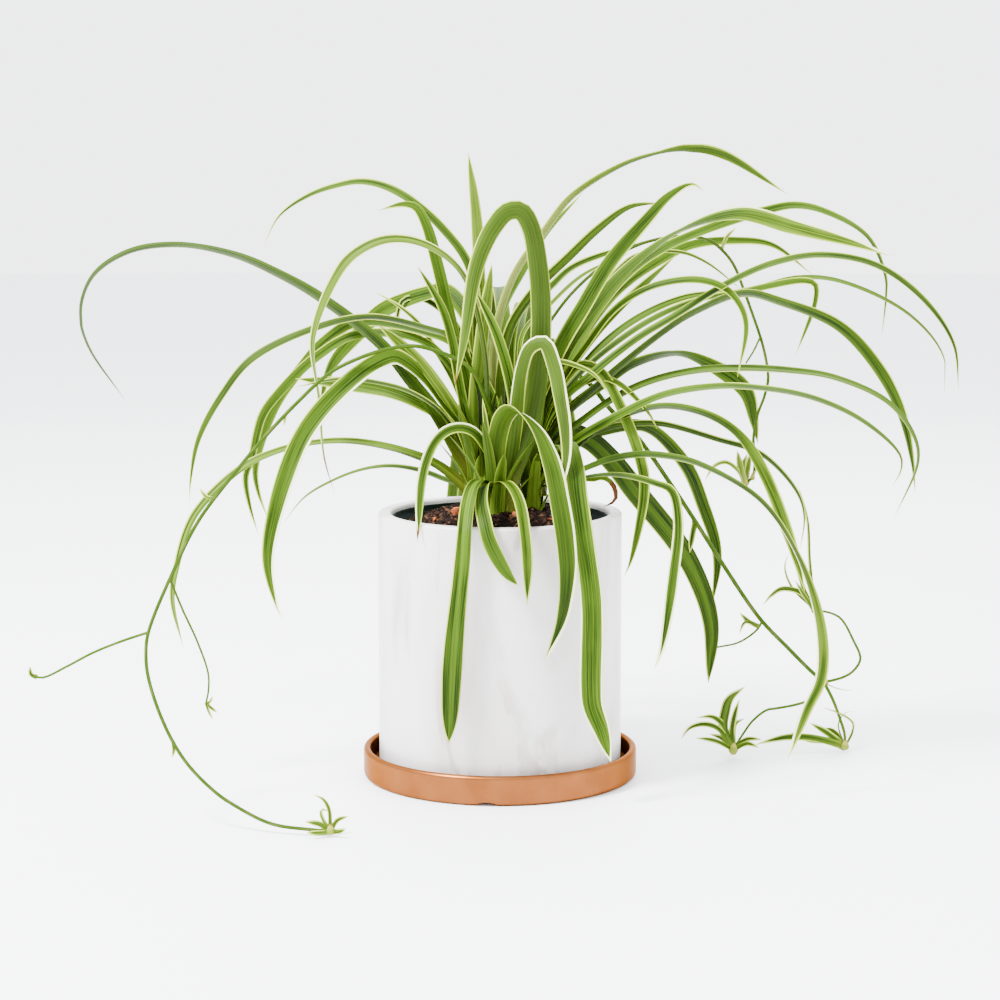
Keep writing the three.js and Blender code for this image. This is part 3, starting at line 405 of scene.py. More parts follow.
# Along the first three front leaves the tone is partly painted light and shade: each is paler on its lit
# leg and deeper on its shaded one.
FRONT_LEAVES = [
    [[14, 14, 14, 13, 11, 9], [-24, -28, -36, -55, -85], [-10, -15, -30, -45, -65, -70], [6, 205, 20,
     240, 27, 290, 28, 325, 25.5, 355, 21, 378, 14, 389.5, 5, 389, -4, 379, -11, 366, -17, 348, -25,
     300, -31, 270], [0, 0, 0.1, 0.3, 0.42], 0.4],
    [10, [-24, -32, -48, -66, -80], [20, 30, 60, 80, 75, 70], [5, 206, 9.5, 235, 15, 282, 21, 297, 30,
     300, 37, 284, 41.5, 262, 45, 240, 45.5, 220, 41, 194], [0.12, 0.2, 0.25], 0.8],
    [[11, 14, 16, 15, 13], [-26, -30, -36, -44, -54, -64, -73, -82, -91, -96, -98, -98, -98], [15, 20,
     20, -10, -20, -20, -35], [-3, 205, -3, 220, -1, 238, 3, 250, 10, 255, 20, 248, 28, 237, 36, 216,
     41, 192, 45.5, 164, 47, 140, 43, 108, 31, 78], [0.3, 0.32, 0.3, 0.12, 0.1], 0.95],
    [[8, 9, 10, 12, 14, 14], [-30, -44, -60, -76, -90, -93, -94, -92], [0], [-9, 202, -14, 206, -19,
     201, -22.5, 188, -24.5, 170, -26, 150, -32.5, 85, -36, 20], [0.4, 0.42, 0.35, 0.15, 0.1], 0.4],
    [[7, 9, 10, 11, 11], [-30, -50, -70, -85, -92, -95, -93], [0], [-7, 199, -11, 202, -13, 190, -11,
     178, -7, 162, 5, 140, 12.5, 132], 0.2, 0.35],
    [[8, 8, 8, 9], [-30, -46, -62, -79, -91, -94, -93], [0], [-2, 201, 3, 205, 9, 200, 14, 189, 17, 172,
     19, 150, 19, 118], 0.4, 0.5],
    [7, [-26, -38, -54, -72], [110, 105, 95, 85, 80], [-4, 216, -10, 229, -18, 239, -27, 242, -36, 240,
     -44, 233, -50, 221, -54, 205, -57, 163], 0.25, 0.6],
    [8, [-22, -20, -22], [75], [4, 215, 10, 240, 8, 268, -3, 308, -18, 338], 0.35, 0.36],
    [5, [-26, -32, -34], [0], [-6, 215, -9, 240, -12, 262], 0.3, 0.36],
]

RIGHT_LEAVES = [
    [[11, 13, 14, 16, 16], [-9, -26, -50, -68, -80, -88, -93, -94, -94, -95, -95], [0], [26, 212, 30,
     222, 45, 231, 51, 215, 53.5, 195, 57, 170, 63.5, 120, 63.5, 60, 64.5, 47, 71, 29, 77.5, 7], [0.12,
     0.15, 0.3, 0.36, 0.36], [0.3, 0.4, 0.9, 0.9]],
    [[9, 10, 11, 10, 9], [-8, -20, -40, -50], [80, 90, 95], [19, 220, 22, 250, 41, 297, 57, 325, 75,
     355, 98, 382, 115, 400, 130, 407.5, 138, 403], 0.2, 0.36],
    [[11, 11, 11, 12, 12], [-6, -20, -40, -60], [50, 65, 65, 12, 80, 85], [20, 220, 28, 255, 45, 296,
     60, 319, 80, 344, 100, 362, 125, 378, 162, 388, 200, 378.5, 240, 368, 266, 359], [0.05, 0.1, 0.35,
     0.62], [0.3, 0.3, 0.5, 0.7]],
    [4, [-2, 8, 15], [40], [20, 225, 15, 305, 34, 326, 56, 346, 90, 362], 0.35, 0.36],
    [8, [-4, 10, 30, 40], [30, 30, 40, 50, 36, 50], [24, 220, 35, 262, 60, 312, 85, 345, 110, 364, 137,
     376, 180, 390, 200, 393.5, 220, 389.5, 250, 372, 262.5, 345, 263, 332, 260.5, 303], 0.35, 0.36],
    [4, [-2, 20, 60], [30, 30, 45, 60], [24, 235, 60, 320, 90, 358, 121, 362, 140, 355, 166, 335], 0.4,
     0.36],
    [7, [-2, 20, 60, 80], [30, 35, 50, 70, 65], [24, 220, 40, 275, 60, 310, 82, 337, 107, 355, 130,
     366.5, 160, 369.5, 185, 366.5, 212.5, 346.5], 0.35, 0.36],
    [7, [-2, 10, 30], [50], [22, 240, 60, 300, 82, 325, 120, 360], 0.35, 0.36],
    [6, [-8, -20, -40, -50], [60, 60, 60, 55, 60, 75], [24, 225, 40, 270, 60, 300, 75, 320, 90, 332,
     110, 340.5, 135, 343, 152, 338, 163, 327, 168, 312, 162.5, 276.5], 0.35, 0.36],
    [8, [-8, -30, -60, -80], [40, 45, 35, 30, 35], [26, 222, 35, 252, 64, 280, 94, 303.5, 118, 318, 157,
     342, 186, 354.5, 218, 360, 256, 353, 289, 329.5, 310, 299, 314, 267], 0.3, 0.36],
    [11, [-8, -16, -26, -34], [20, 25, 20, 32, 60, 45], [27, 220, 40, 245, 70, 274, 111, 307.5, 132,
     321, 166, 334, 192, 328, 231, 312, 258, 284, 275, 253, 283.5, 219, 286, 196], 0.25, 0.36],
    [9, [-8, -20, -36, -50], [30, 33, 30, 22, 20], [27, 214, 35, 230, 57, 247.5, 80, 263.5, 103, 274,
     132, 281, 163, 283, 197, 281.5, 229, 276.5, 266, 259.5, 284, 237, 287.5, 219, 272, 179.5], 0.35,
     0.36],
    [9, [-8, -36, -70, -90], [40, 45, 32, 20, 15, 15], [26, 210, 50, 232, 80, 250, 110, 264, 137, 269.5,
     165, 270.5, 213, 263, 250, 246, 275, 223, 276, 213, 270, 201], 0.35, 0.36],
    [[10, 10, 9, 9, 12], [-8, -24, -40, -50], [25, 30, 25, 35, 85, 85], [28, 209, 49, 226.5, 69, 242.5,
     90, 252.5, 111, 257, 132, 254.5, 152, 246.5, 168, 233, 183, 208, 197, 173.5, 205, 150, 211, 128],
     [0.2, 0.2, 0.42, 0.5], 0.4],
    [[7, 8, 8, 8, 9, 11], [-10, -46, -70, -76, -70], [25, 30, 10, 5, 55, 75], [26, 203, 55, 212.5, 75,
     220, 96, 223.5, 117, 222, 138, 216.5, 180, 191.5, 206, 153.5, 222.5, 104, 223.5, 67, 214, 44, 201,
     9], [0.15, 0.15, 0.5, 0.55], [0.3, 0.3, 0.7, 0.8]],
    [6, [-4, 20, 50], [25, 35, 40, 38, 45, 60], [28, 212, 40, 222, 68, 240, 90, 244.5, 111, 244.5, 149,
     234, 180, 223.5, 205, 197, 210, 180, 207, 156], 0.35, 0.36],
    [[9, 9, 10, 10, 9], [0, 40, 80, 90], [30, 50, 60, 110, 120, 125], [27, 212, 40, 228, 70, 240, 100,
     242.5, 127, 217, 140, 188, 150, 154, 147, 117], 0.2, 0.36],
    [[6, 6, 7, 8, 9], [-12, -46, -74, -84], [25, 40, 65, 70], [28, 200, 55, 207, 73, 209.5, 91, 208,
     107, 203.5, 118, 198.5, 123, 178, 120, 140, 112, 86, 107, 72], 0.2, [0.3, 0.4, 0.8, 0.8]],
    [[6, 7, 8, 8], [-8, -16, -30, -34], [50, 70, 85, 95], [24, 225, 35, 262, 55, 285, 68, 281, 78, 266,
     96, 222, 99.5, 200, 90, 148, 86, 139], 0.4, 0.36],
    [[11, 14, 16, 15, 13, 11], [0, 26, 56, 66], [60, 80, 92, 100, 105, 112], [28, 218, 45, 238, 60, 234,
     75, 221, 94, 197, 130, 150, 146, 107, 145, 63], 0.15, 0.36],
    [[9, 9, 9, 10, 14, 16], [0, 14, 40, 60], [20, 25, 40, 18, 90, 110], [26, 222, 45, 252, 71, 272.5,
     90, 285.5, 121, 293, 145, 284.5, 168, 267.5, 174, 248, 177, 231], 0.2, 0.36],
    [6, [-6, 0, 10], [30, 35, 40, 35, 60, 105], [26, 225, 45, 268, 90, 308, 130, 328, 165, 335, 207,
     342.5, 214.5, 340, 215, 329, 202, 291.5], 0.35, 0.36],
    [6, [-4, 20, 40], [40, 55, 50, 32, 35, 45], [24, 225, 50, 275, 82, 309, 124, 330.5, 167, 335.5, 203,
     344.5, 232, 342, 279, 319.5, 303, 291, 304.5, 264], 0.35, 0.36],
    [4, [-8, -24, -30], [60], [20, 235, 25, 272, 36, 287, 55, 283.5, 66, 277, 74, 265], 0.5, 0.36],
    [5, [-6, -16, -24], [40, 50, 60], [26, 225, 45, 262, 66, 276, 80, 273, 101, 253, 108, 241], 0.45,
     0.36],
    [4, [-4, 2, 4], [60, 60, 90], [30, 205, 45, 209, 63, 206, 70.5, 207.5, 76.5, 204, 79.5, 198, 79.5,
     192, 76, 189, 71, 187], 0.4, 0.36],
]

# The second back leaf's paler first half is partly painted light, which lightens its underside where it
# lies in shade.
BACK_LEAVES = [
    [[7, 7, 8, 9, 10], [26, 38, 40], [110], [2, 225, -8, 265, -12, 300, -16, 385, -21.5, 429], 0.55,
     0.36],
    [[7, 7, 7, 8, 10, 9], [24, 16, 6, 0], [-50, -50, -48, -45, -40, -30, -12, -80, -85], [0, 225, -4,
     300, 9, 345, 30, 376, 48, 399, 77, 418, 98, 426.5, 128, 432, 151, 427.5, 194.5, 401], [0.7, 0.78,
     0.8, 0.35, 0.25], 0.36],
    [5, [26, 32, 38], [60], [3, 225, -1, 312, 17.5, 352, 30, 373, 57, 403], 0.35, 0.36],
    [8, [22, 16, 12, 8], [-55], [6, 225, 0, 260, 6, 308, 21, 333, 48, 360, 67, 378, 88, 392.5, 112,
     395], 0.35, 0.36],
    [5.5, [28, 38, 44], [65], [10, 225, 12, 318, 34, 338, 50, 352, 103, 370.5], 0.35, 0.36],
    [7, [20, 20, 18], [-70], [10, 225, 16, 250, 20, 270, 30, 290], 0.4, 0.36],
]

REAR_LEAVES = [
    [9, 101, 215, 118, 60], [11, 84, 240, 132, 40], [8, 72, 200, 108, 120], [9, 108, 170, 84, 50],
    [9, 92, 150, 96, 100], [8, 78, 160, 74, 30], [10, 95, 190, 146, 150], [8, 64, 130, 90, 130],
]
print("seen leaves:", sum(map(len, (LEFT_LEAVES, FRONT_LEAVES, RIGHT_LEAVES, BACK_LEAVES))))

# %% [markdown]
# The tables of the three runners. A stem is given by radius, depths and seen places, a bud by radius
# and seen place, and a small leaf by width, depths, turns and seen places, as a large one is.

# %% Runner tables
RUNNERS = {
    "left": {
        "stems": [
            [1.4, [0, -22, -36, -60, -90, -122, -150, -168], [
                1, 204, -2, 235, -10, 262, -20, 282, -30, 289, -45, 295, -60, 298, -80, 295, -100, 288,
                -117, 279, -140, 258, -160, 237, -180, 213.5, -208, 177, -225, 144, -244, 99, -246, 84,
                -244.5, 66, -233.5, 32, -219, 6, -198, -16, -185, -25, -167, -35, -155, -39,
                -135.5, -41.5, -119, -43]],
            [1, [0, -10, -18], [-243, 99, -262, 93, -283, 84.5, -300, 75.5, -318, 67, -325, 68]],
            [0.9, [0, 16, 20], [-229, 136, -220, 115, -210, 92, -203, 70, -203, 58, -205, 48]],
        ],
        "buds": [[3.2, -118, -44]],
        "leaves": [
            [3, [0, -2], [75], [-322, 67, -326, 69, -327, 75]],
            [2.5, [0, 2], [-60], [-205, 49, -202, 46, -197, 42]],
            [2, [0, -4], [-30], [-205, 49, -203, 43, -200, 37]],
            [2, [0, 4], [-40], [-205, 48, -202, 50, -200, 54]],
            [2.5, [0, 3], [0], [-229, 20, -228, 15, -229, 10]],
            [2.5, [0, 4], [-50], [-143, 255, -147, 251, -148, 243]],
            [2.5, [0, 3], [60], [-197, 193, -202, 194, -207, 200]],
            [3.5, [0, 5], [20], [-118, -43, -120, -27, -124, -20, -131, -16.5]],
            [4, [0, 4], [60], [-117, -43, -126, -38, -137, -36]],
            [3.5, [0, -6], [60], [-116, -44, -124, -44, -136, -44]],
            [3.5, [0, -4], [-70], [-118, -44, -113, -43, -108, -41]],
            [2.5, [0, 4], [0], [-119, -42, -125, -32, -125, -27.5, -120, -28.5]],
            [3, [0, 10], [-60], [-118, -43, -114, -35, -106, -32]],
        ],
    },
    "right": {
        "stems": [
            [1.75, [4, 20, 40, 60, 72], [
                7, 204, 12, 235, 25, 262, 45, 280, 60, 273, 76, 254, 93, 237, 118, 202, 134, 178,
                152, 150, 180, 109, 200, 88, 217, 71, 226.5, 63]],
            [1.1, [0, -6, -12], [
                226, 64, 238, 67, 245, 71, 250.5, 80, 245, 94, 237, 108, 231, 112, 218, 115]],
            [1.3, [0, -7, -14], [226, 65, 232, 51, 237, 38, 240.5, 27, 241, 17.5]],
            [1.1, [0, -14, -30], [226, 64, 215, 51, 207, 48, 192, 45, 186, 44, 176, 36, 171, 29, 163, 16]],
            [0.9, [0, -4], [181, 107, 179, 101.5, 166, 92, 151, 88.5]],
        ],
        "buds": [[4, 163, 14], [3.6, 240, 17], [3, 217, 117], [2.4, 226.5, 64]],
        "leaves": [
            [4.5, [0, -2], [60], [135, 177, 133, 168, 131, 155]],
            [3.5, [0, -4], [-85], [180, 103, 172, 107, 166, 113]],
            [2.5, [0, -8], [60], [180, 103, 170, 106, 166, 98]],
            [[7, 10, 11, 8], [0, -4], [75], [162, 16, 156, 30, 157, 43, 160, 52, 171, 61]],
            [5, [0, -3], [60], [163, 16, 162, 30, 164, 42, 167, 52]],
            [4.5, [0, -6], [90], [162, 16, 155, 34, 148, 39, 137, 38.5]],
            [4, [0, -12], [80], [162, 16, 152, 31, 142, 34, 132, 31, 126, 22.5]],
            [3.5, [0, -18], [80], [162, 16, 150, 22, 136, 24]],
            [3.5, [0, 7], [-70], [163, 16, 172, 23, 183, 23]],
            [3.5, [0, -7], [-75], [163, 16, 173, 20, 181, 17]],
            [3.5, [0, 9], [-40], [163, 16, 164, 34, 171, 38]],
            [3.5, [0, 18], [60], [162, 16, 155, 24, 146, 27]],
            [6.5, [0, -10, -16], [75], [240, 18, 228, 22, 215, 24.5, 200, 24.5, 188, 22, 178, 19]],
            [4.5, [0, 8], [75], [240, 18, 230, 21.5, 215, 23, 203, 28]],
            [5.5, [0, -4], [90], [240, 18, 228, 28, 216, 35]],
            [4, [0, 6], [75], [241, 18, 232, 29, 223, 30]],
            [2.5, [0, 8], [30], [241, 18, 246, 28, 246, 35, 238, 41, 224, 46]],
            [2.5, [0, 14], [30], [241, 18, 236, 34, 241, 42, 249, 43]],
            [2.5, [0, 8], [30], [241, 18, 246, 30, 247, 37]],
            [2, [0, 2], [30], [226, 63, 236, 59, 247, 57.5]],
            [4, [0, -8], [80], [218, 115, 208, 127, 195, 129.5, 188, 125, 182, 118]],
            [3.5, [0, 2], [60], [218, 115, 211, 128, 206, 143, 200, 156]],
            [2.5, [0, 6], [30], [218, 115, 202, 131, 197, 145, 200, 156]],
            [2.5, [0, 12], [30], [218, 115, 214, 150, 212, 178, 205, 203]],
            [3, [0, -6], [-70], [218, 115, 210, 126, 204, 136]],
        ],
    },
    "back": {
        "stems": [
            [1.2, [10, 24, 30, 34, 36], [
                1, 206, 4, 250, 20, 290, 50, 335, 88, 364, 118, 372, 141, 370, 152, 362, 159.5, 352,
                166, 336, 172, 320, 179, 300, 182.5, 285, 183.5, 275, 181, 263, 177, 252, 174, 235,
                175, 220, 174, 208, 169, 203]],
            [0.8, [0, -4], [178, 304, 173, 294, 168, 286]],
        ],
        "buds": [[2.4, 169.5, 203], [2.2, 174.5, 207]],
        "leaves": [
            [5.5, [0, -2], [-70], [169, 203, 166, 212, 163, 226]],
            [3, [0, -8], [80], [169, 203, 163, 213, 155, 218, 147, 215, 141, 205]],
            [4.5, [0, 4], [-35], [169, 203, 170, 212, 172, 225]],
            [4, [0, 8], [-10], [169, 203, 167, 214, 170, 224]],
            [2.5, [0, -6], [0], [174, 208, 177, 213, 181, 210]],
            [2.5, [0, 2], [-75], [150, 363, 154, 372, 160, 378]],
        ],
    },
}
print("stems and shoots:", sum(len(runner["stems"]) for runner in RUNNERS.values()))

# %% [markdown]
# ## Living leaf
#
# The leaf of a variegated spider plant is green in the middle with a yellow to cream margin up to a
# millimetre wide, and fine ribs run along it in lighter and darker green. Its skin is waxy but dull
# with age, so it gleams only softly under a bright sky. The pattern follows the blade and not the
# room, so the material reads facts that the surface carries: how far across and along a spot lies,
# on which face, how wide and long its leaf is, and which leaf it is.

# %% Leaf finish: what the surface carries
leaf_finish, tree = new_finish("Variegated leaf, waxy")
across, along, half, length, tone, margin, dry, under, strand = (
    put(tree, FACT, out="Fac", attribute_name=name)
    for name in ("across", "along", "half", "length", "tone", "margin", "dry", "under", "strand"))
across_mm = put(tree, MATH, [across, half], operation="MULTIPLY")
along_mm = put(tree, MATH, [along, length], operation="MULTIPLY")
from_middle = put(tree, MATH, [across], operation="ABSOLUTE")
print("leaf finish reads", len(tree.nodes) - 3, "facts")

# %% [markdown]
# The ribs are noise about a millimetre wide and drawn out 80 times along the blade, so they run as
# streaks. A slower noise lets the green drift over five centimetres. Both are shifted by the leaf's
# number, so that no two leaves match. Most leaves are dark in the middle and lighter at the sides.
# About one in eight has a light stripe down the middle instead.

# %% Leaf finish: ribs and green
RIB_SCALE = 1.1  # ribs to a millimetre across the blade
RIB_STRETCH = (1.0, 0.012, 7.3)  # across, along and from leaf to leaf
DRIFT_STRETCH = (0.02, 3.7, 1.0)  # along, from leaf to leaf and from face to face
LEAF_DRAW, LIGHT_STRIPE_SHARE = (0.37, -0.02), 0.13  # steps of the draw, and the share that wins it
grain = put(tree, VECTORS, [put(tree, JOIN_XYZ, [across_mm, along_mm, strand]), RIB_STRETCH],
            operation="MULTIPLY")
ribs = put(tree, NOISE, {"Vector": grain, "Scale": RIB_SCALE, "Detail": 3.0, "Roughness": 0.6})
drift_at = put(tree, VECTORS, [put(tree, JOIN_XYZ, [along_mm, strand, under]), DRIFT_STRETCH],
               operation="MULTIPLY")
drift = put(tree, NOISE, {"Vector": drift_at, "Scale": 1.0, "Detail": 2.0})
deep = put(tree, RAMP, [tone], stops=(
    (0.0, "#0A1701"), (0.35, "#102101"), (0.6, "#263C04"), (0.8, "#687229"), (1.0, "#A89C68")))
pale = put(tree, RAMP, [tone], stops=(
    (0.0, "#283B08"), (0.35, "#405A0E"), (0.6, "#62781C"), (0.8, "#96A052"), (1.0, "#B8AC88")))
draw = put(tree, MATH, [put(tree, MATH, [strand, *LEAF_DRAW], operation="MULTIPLY_ADD")], operation="FRACT")
striped = put(tree, MATH, [draw, LIGHT_STRIPE_SHARE], operation="LESS_THAN")
dark_middle = put(tree, RANGE, [from_middle, 0.2, 0.9, 0.0, 0.6], **SOFT)
light_middle = put(tree, RANGE, [from_middle, 0.12, 0.4, 0.6, 0.0], **SOFT)
broad = put(tree, MIX, {0: striped, 2: dark_middle, 3: light_middle})
streaks = put(tree, RANGE, [ribs, 0.42, 0.6, 0.0, 0.64], **SOFT)
light_share = put(tree, MATH, [broad, streaks], operation="ADD", use_clamp=True)
green = put(tree, MIX, {0: light_share, 6: deep, 7: pale}, **COLOUR)
paler = put(tree, RANGE, [drift, 0.4, 0.75, 0.0, 0.45], **SOFT)
green = put(tree, MIX, {0: paler, 6: green, 7: pale}, **COLOUR)
duller = put(tree, MATH, [under, 0.3], operation="MULTIPLY")
green = put(tree, MIX, {0: duller, 6: green, 7: paint("#3C4E16")}, **COLOUR)
step, first = LEAF_DRAW
light_striped = [i for i in range(len(RIGHT_LEAVES)) if (step * i + first) % 1 < LIGHT_STRIPE_SHARE]
print("on the right, a light stripe is on the leaves", light_striped)

# %% [markdown]
# The margin is measured in millimetres in from the edge, so a broad leaf doesn't get a broad
# margin. It wavers by a third of a millimetre, is wider on one side than on the other, and fades
# towards the foot, where the leaves of the real plant are plain. A wide margin is nearly cream, a
# narrow one yellow green.

# %% Leaf finish: margin
WAVER = 0.3  # millimetres either way
EDGE_BLUR = 0.45  # millimetres over which the margin turns green
SIDE_TURN, SIDE_LEAN = 2.4, 0.4  # which side is wider, from leaf to leaf, and by how much
to_edge = put(tree, MATH, [half, put(tree, MATH, [across_mm], operation="ABSOLUTE")], operation="SUBTRACT")
waver = put(tree, RANGE, [drift, 0.25, 0.8, -WAVER, WAVER], **SOFT)
to_edge = put(tree, MATH, [to_edge, waver], operation="ADD")
lean = put(tree, MATH, [put(tree, MATH, [strand, SIDE_TURN], operation="MULTIPLY")], operation="SINE")
lean = put(tree, MATH, [lean, SIDE_LEAN], operation="MULTIPLY")
side = put(tree, MATH, [across], operation="SIGN")
uneven = put(tree, MATH, [side, lean, 1.0], operation="MULTIPLY_ADD")
foot_fade = put(tree, RANGE, [along, 0.08, 0.45, 0.15, 1.0], **SOFT)
wide = put(tree, MATH, [margin, foot_fade], operation="MULTIPLY")
wide = put(tree, MATH, [wide, uneven], operation="MULTIPLY")
past = put(tree, MATH, [to_edge, wide], operation="SUBTRACT")
on_margin = put(tree, RANGE, [past, 0.0, EDGE_BLUR, 1.0, 0.0], **SOFT)
on_margin = put(tree, MATH, [on_margin, put(tree, RANGE, [wide, 0.03, 0.4], **SOFT)], operation="MULTIPLY")
creamy = put(tree, RANGE, [wide, 0.5, 1.0], **SOFT)
cream = put(tree, MIX, {0: creamy, 6: paint("#98A63A"), 7: paint("#D8DDA6")}, **COLOUR)
green = put(tree, MIX, {0: on_margin, 6: green, 7: cream}, **COLOUR)
print("margin added:", len(tree.nodes), "nodes")

# %% [markdown]
# At its foot a leaf turns lime, and a few leaves end in a dry brown tip. The ribs also raise the
# skin by about two hundredths of a millimetre, which is enough to break the gleam.

# %% Leaf finish: foot, tip and skin
LEAF_IOR = 1.42  # as plant wax has
RIB_HEIGHT = 0.3 * MM  # at full strength, of which the skin gets 6%
lime = put(tree, RANGE, [along, 0.0, 0.14, 0.45, 0.0], **SOFT)
green = put(tree, MIX, {0: lime, 6: green, 7: paint("#6A6C22")}, **COLOUR)
past_dry = put(tree, MATH, [along, dry], operation="SUBTRACT")
brown = put(tree, RANGE, [past_dry, -0.02, 0.015], **SOFT)
green = put(tree, MIX, {0: brown, 6: green, 7: paint("#4E2C10")}, **COLOUR)
bumps = put(tree, BUMP, {"Height": ribs, "Strength": 0.06, "Distance": RIB_HEIGHT})
skin = put(tree, SKIN, {
    "Base Color": green, "Roughness": 0.52, "IOR": LEAF_IOR, "Specular IOR Level": 0.06, "Normal": bumps})
put(tree, SURFACE, [skin])
print("leaf finish with", len(tree.nodes), "nodes")

# %% [markdown]
# ## Runner stem
#
# A runner is a round, juicy green stem, lighter where it is young. Its waxy skin is as dull as the
# leaf's, with faint stripes along it and small brown specks, which make it look matt. It reads the
# same facts as the leaf, so that the swollen foot of a plantlet can be pale and its joints brown.

# %% Stem finish
SPECK = 6.25  # millimetres, with detail down to a tenth of that
STRIPES, STRIPE_STRETCH = 2.4, 0.03  # stripes to a side, and how much slower they change along it
stem_finish, tree = new_finish("Runner stem, young and juicy")
across, along, length, tone = (
    put(tree, FACT, out="Fac", attribute_name=name) for name in ("across", "along", "length", "tone"))
place = put(tree, PLACE, out="Object")
speck = put(tree, NOISE, {"Vector": place, "Scale": 1 / (SPECK * MM), "Detail": 3.0})
along_mm = put(tree, MATH, [along, length], operation="MULTIPLY")
slow = put(tree, MATH, [along_mm, STRIPE_STRETCH], operation="MULTIPLY")
stripe = put(tree, NOISE, {"Vector": put(tree, JOIN_XYZ, [across, slow]), "Scale": STRIPES, "Detail": 2.0})
green = put(tree, RAMP, [tone], stops=(
    (0.0, "#1C3004"), (0.35, "#365206"), (0.6, "#5A7010"), (0.8, "#94923E"), (1.0, "#3C2009")))
light = put(tree, MIX, {0: 0.25, 6: green, 7: paint("#8A8848")}, **COLOUR)
on_stripe = put(tree, RANGE, [stripe, 0.45, 0.7, 0.0, 0.55], **SOFT)
green = put(tree, MIX, {0: on_stripe, 6: green, 7: light}, **COLOUR)
specked = put(tree, RANGE, [speck, 0.62, 0.75, 0.0, 0.35], **SOFT)
green = put(tree, MIX, {0: specked, 6: green, 7: paint("#4A3C14")}, **COLOUR)
bumps = put(tree, BUMP, {"Height": stripe, "Strength": 0.2, "Distance": 0.3 * MM})
skin = put(tree, SKIN, {
    "Base Color": green, "Roughness": 0.55, "IOR": LEAF_IOR, "Specular IOR Level": 0.05, "Normal": bumps})
put(tree, SURFACE, [skin])
print("stem finish with", len(tree.nodes), "nodes")

# %% [markdown]
# ## Strap leaves
#
# Dozens of blades follow dozens of lines, so one tree makes them all. It strings the loose points of
# each leaf into a curve, aims the curve's normal along the blade's width, and sweeps one section
# along it, scaled by the half width. The section is a thin lens bent into a shallow channel, as a
# spider plant's leaf is: the middle lies lower than the edges. A swept section keeps the blade in
# one closed skin, which a flat strip with a Solidify modifier would do less evenly at the tips.

# %% Tree for leaves
ON_POINTS = {"data_type": "FLOAT", "domain": "POINT"}
KEEP_FACT, CIRCLE = "GeometryNodeStoreNamedAttribute", "GeometryNodeCurvePrimitiveCircle"
leaf_tree, given = new_tree(
    "Strap leaves", Section_points="Int", Thickness="Float", Channel="Float", Finish="Material")
tree = leaf_tree
points = put(tree, "GeometryNodeMeshToPoints", {"Mesh": given["Mesh"]})
number = put(tree, STORED, ["strand"], data_type="INT")
curves = put(tree, "GeometryNodePointsToCurves", {
    "Points": points, "Curve Group ID": number, "Weight": put(tree, STORED, ["along"])})
facing = put(tree, STORED, ["side"], data_type="FLOAT_VECTOR")
aimed = put(tree, "GeometryNodeSetCurveNormal", {"Curve": curves, "Normal": facing}, mode="FREE")
ring = put(tree, CIRCLE, {"Resolution": given["Section points"], "Radius": 1.0})
x = put(tree, SPLIT_XYZ, [put(tree, "GeometryNodeInputPosition")])
y = x.node.outputs[1]
bowl = put(tree, MATH, [1.0, put(tree, MATH, [x, x], operation="MULTIPLY")], operation="SUBTRACT")
valley = put(tree, MATH, [given["Channel"], bowl], operation="MULTIPLY")
lens = put(tree, MATH, [y, given["Thickness"]], operation="MULTIPLY")
height = put(tree, MATH, [valley, lens], operation="ADD")
lower = put(tree, MATH, [y, 0.0], operation="GREATER_THAN")
section = put(tree, KEEP_FACT, {"Geometry": ring, "Name": "across", "Value": x}, **ON_POINTS)
section = put(tree, KEEP_FACT, {"Geometry": section, "Name": "under", "Value": lower}, **ON_POINTS)
bent = put(tree, JOIN_XYZ, [x, height])
section = put(tree, "GeometryNodeSetPosition", {"Geometry": section, "Position": bent})
half_metres = put(tree, MATH, [put(tree, STORED, ["half"]), MM], operation="MULTIPLY")
blades = put(tree, "GeometryNodeCurveToMesh", {
    "Curve": aimed, "Profile Curve": section, "Scale": half_metres, "Fill Caps": True})
close_tree(tree, blades, given["Finish"])

# %% [markdown]
# Stems and buds are round all the way, so their tree sweeps a circle. The radius comes from each
# point, so one strand can swell into a bulb.

# %% Tree for stems
stem_tree, given = new_tree("Round stems", Section_points="Int", Finish="Material")
tree = stem_tree
points = put(tree, "GeometryNodeMeshToPoints", {"Mesh": given["Mesh"]})
number = put(tree, STORED, ["strand"], data_type="INT")
curves = put(tree, "GeometryNodePointsToCurves", {
    "Points": points, "Curve Group ID": number, "Weight": put(tree, STORED, ["along"])})
ring = put(tree, CIRCLE, {"Resolution": given["Section points"], "Radius": 1.0})
x = put(tree, SPLIT_XYZ, [put(tree, "GeometryNodeInputPosition")])
section = put(tree, KEEP_FACT, {"Geometry": ring, "Name": "across", "Value": x}, **ON_POINTS)
radius_metres = put(tree, MATH, [put(tree, STORED, ["half"]), MM], operation="MULTIPLY")
rods = put(tree, "GeometryNodeCurveToMesh", {
    "Curve": curves, "Profile Curve": section, "Scale": radius_metres, "Fill Caps": True})
close_tree(tree, rods, given["Finish"])

# %% [markdown]
# ## The rosettes
#
# Several crowns share the pot, and their leaves leave the soil in four clumps. Each clump is one
# piece here, as it is one solid in the CAD model. A foot point inside the crown is added below the
# first place of each leaf. A few leaves have a dry tip, told as the share of the leaf where the
# brown starts, and a few are blunt.

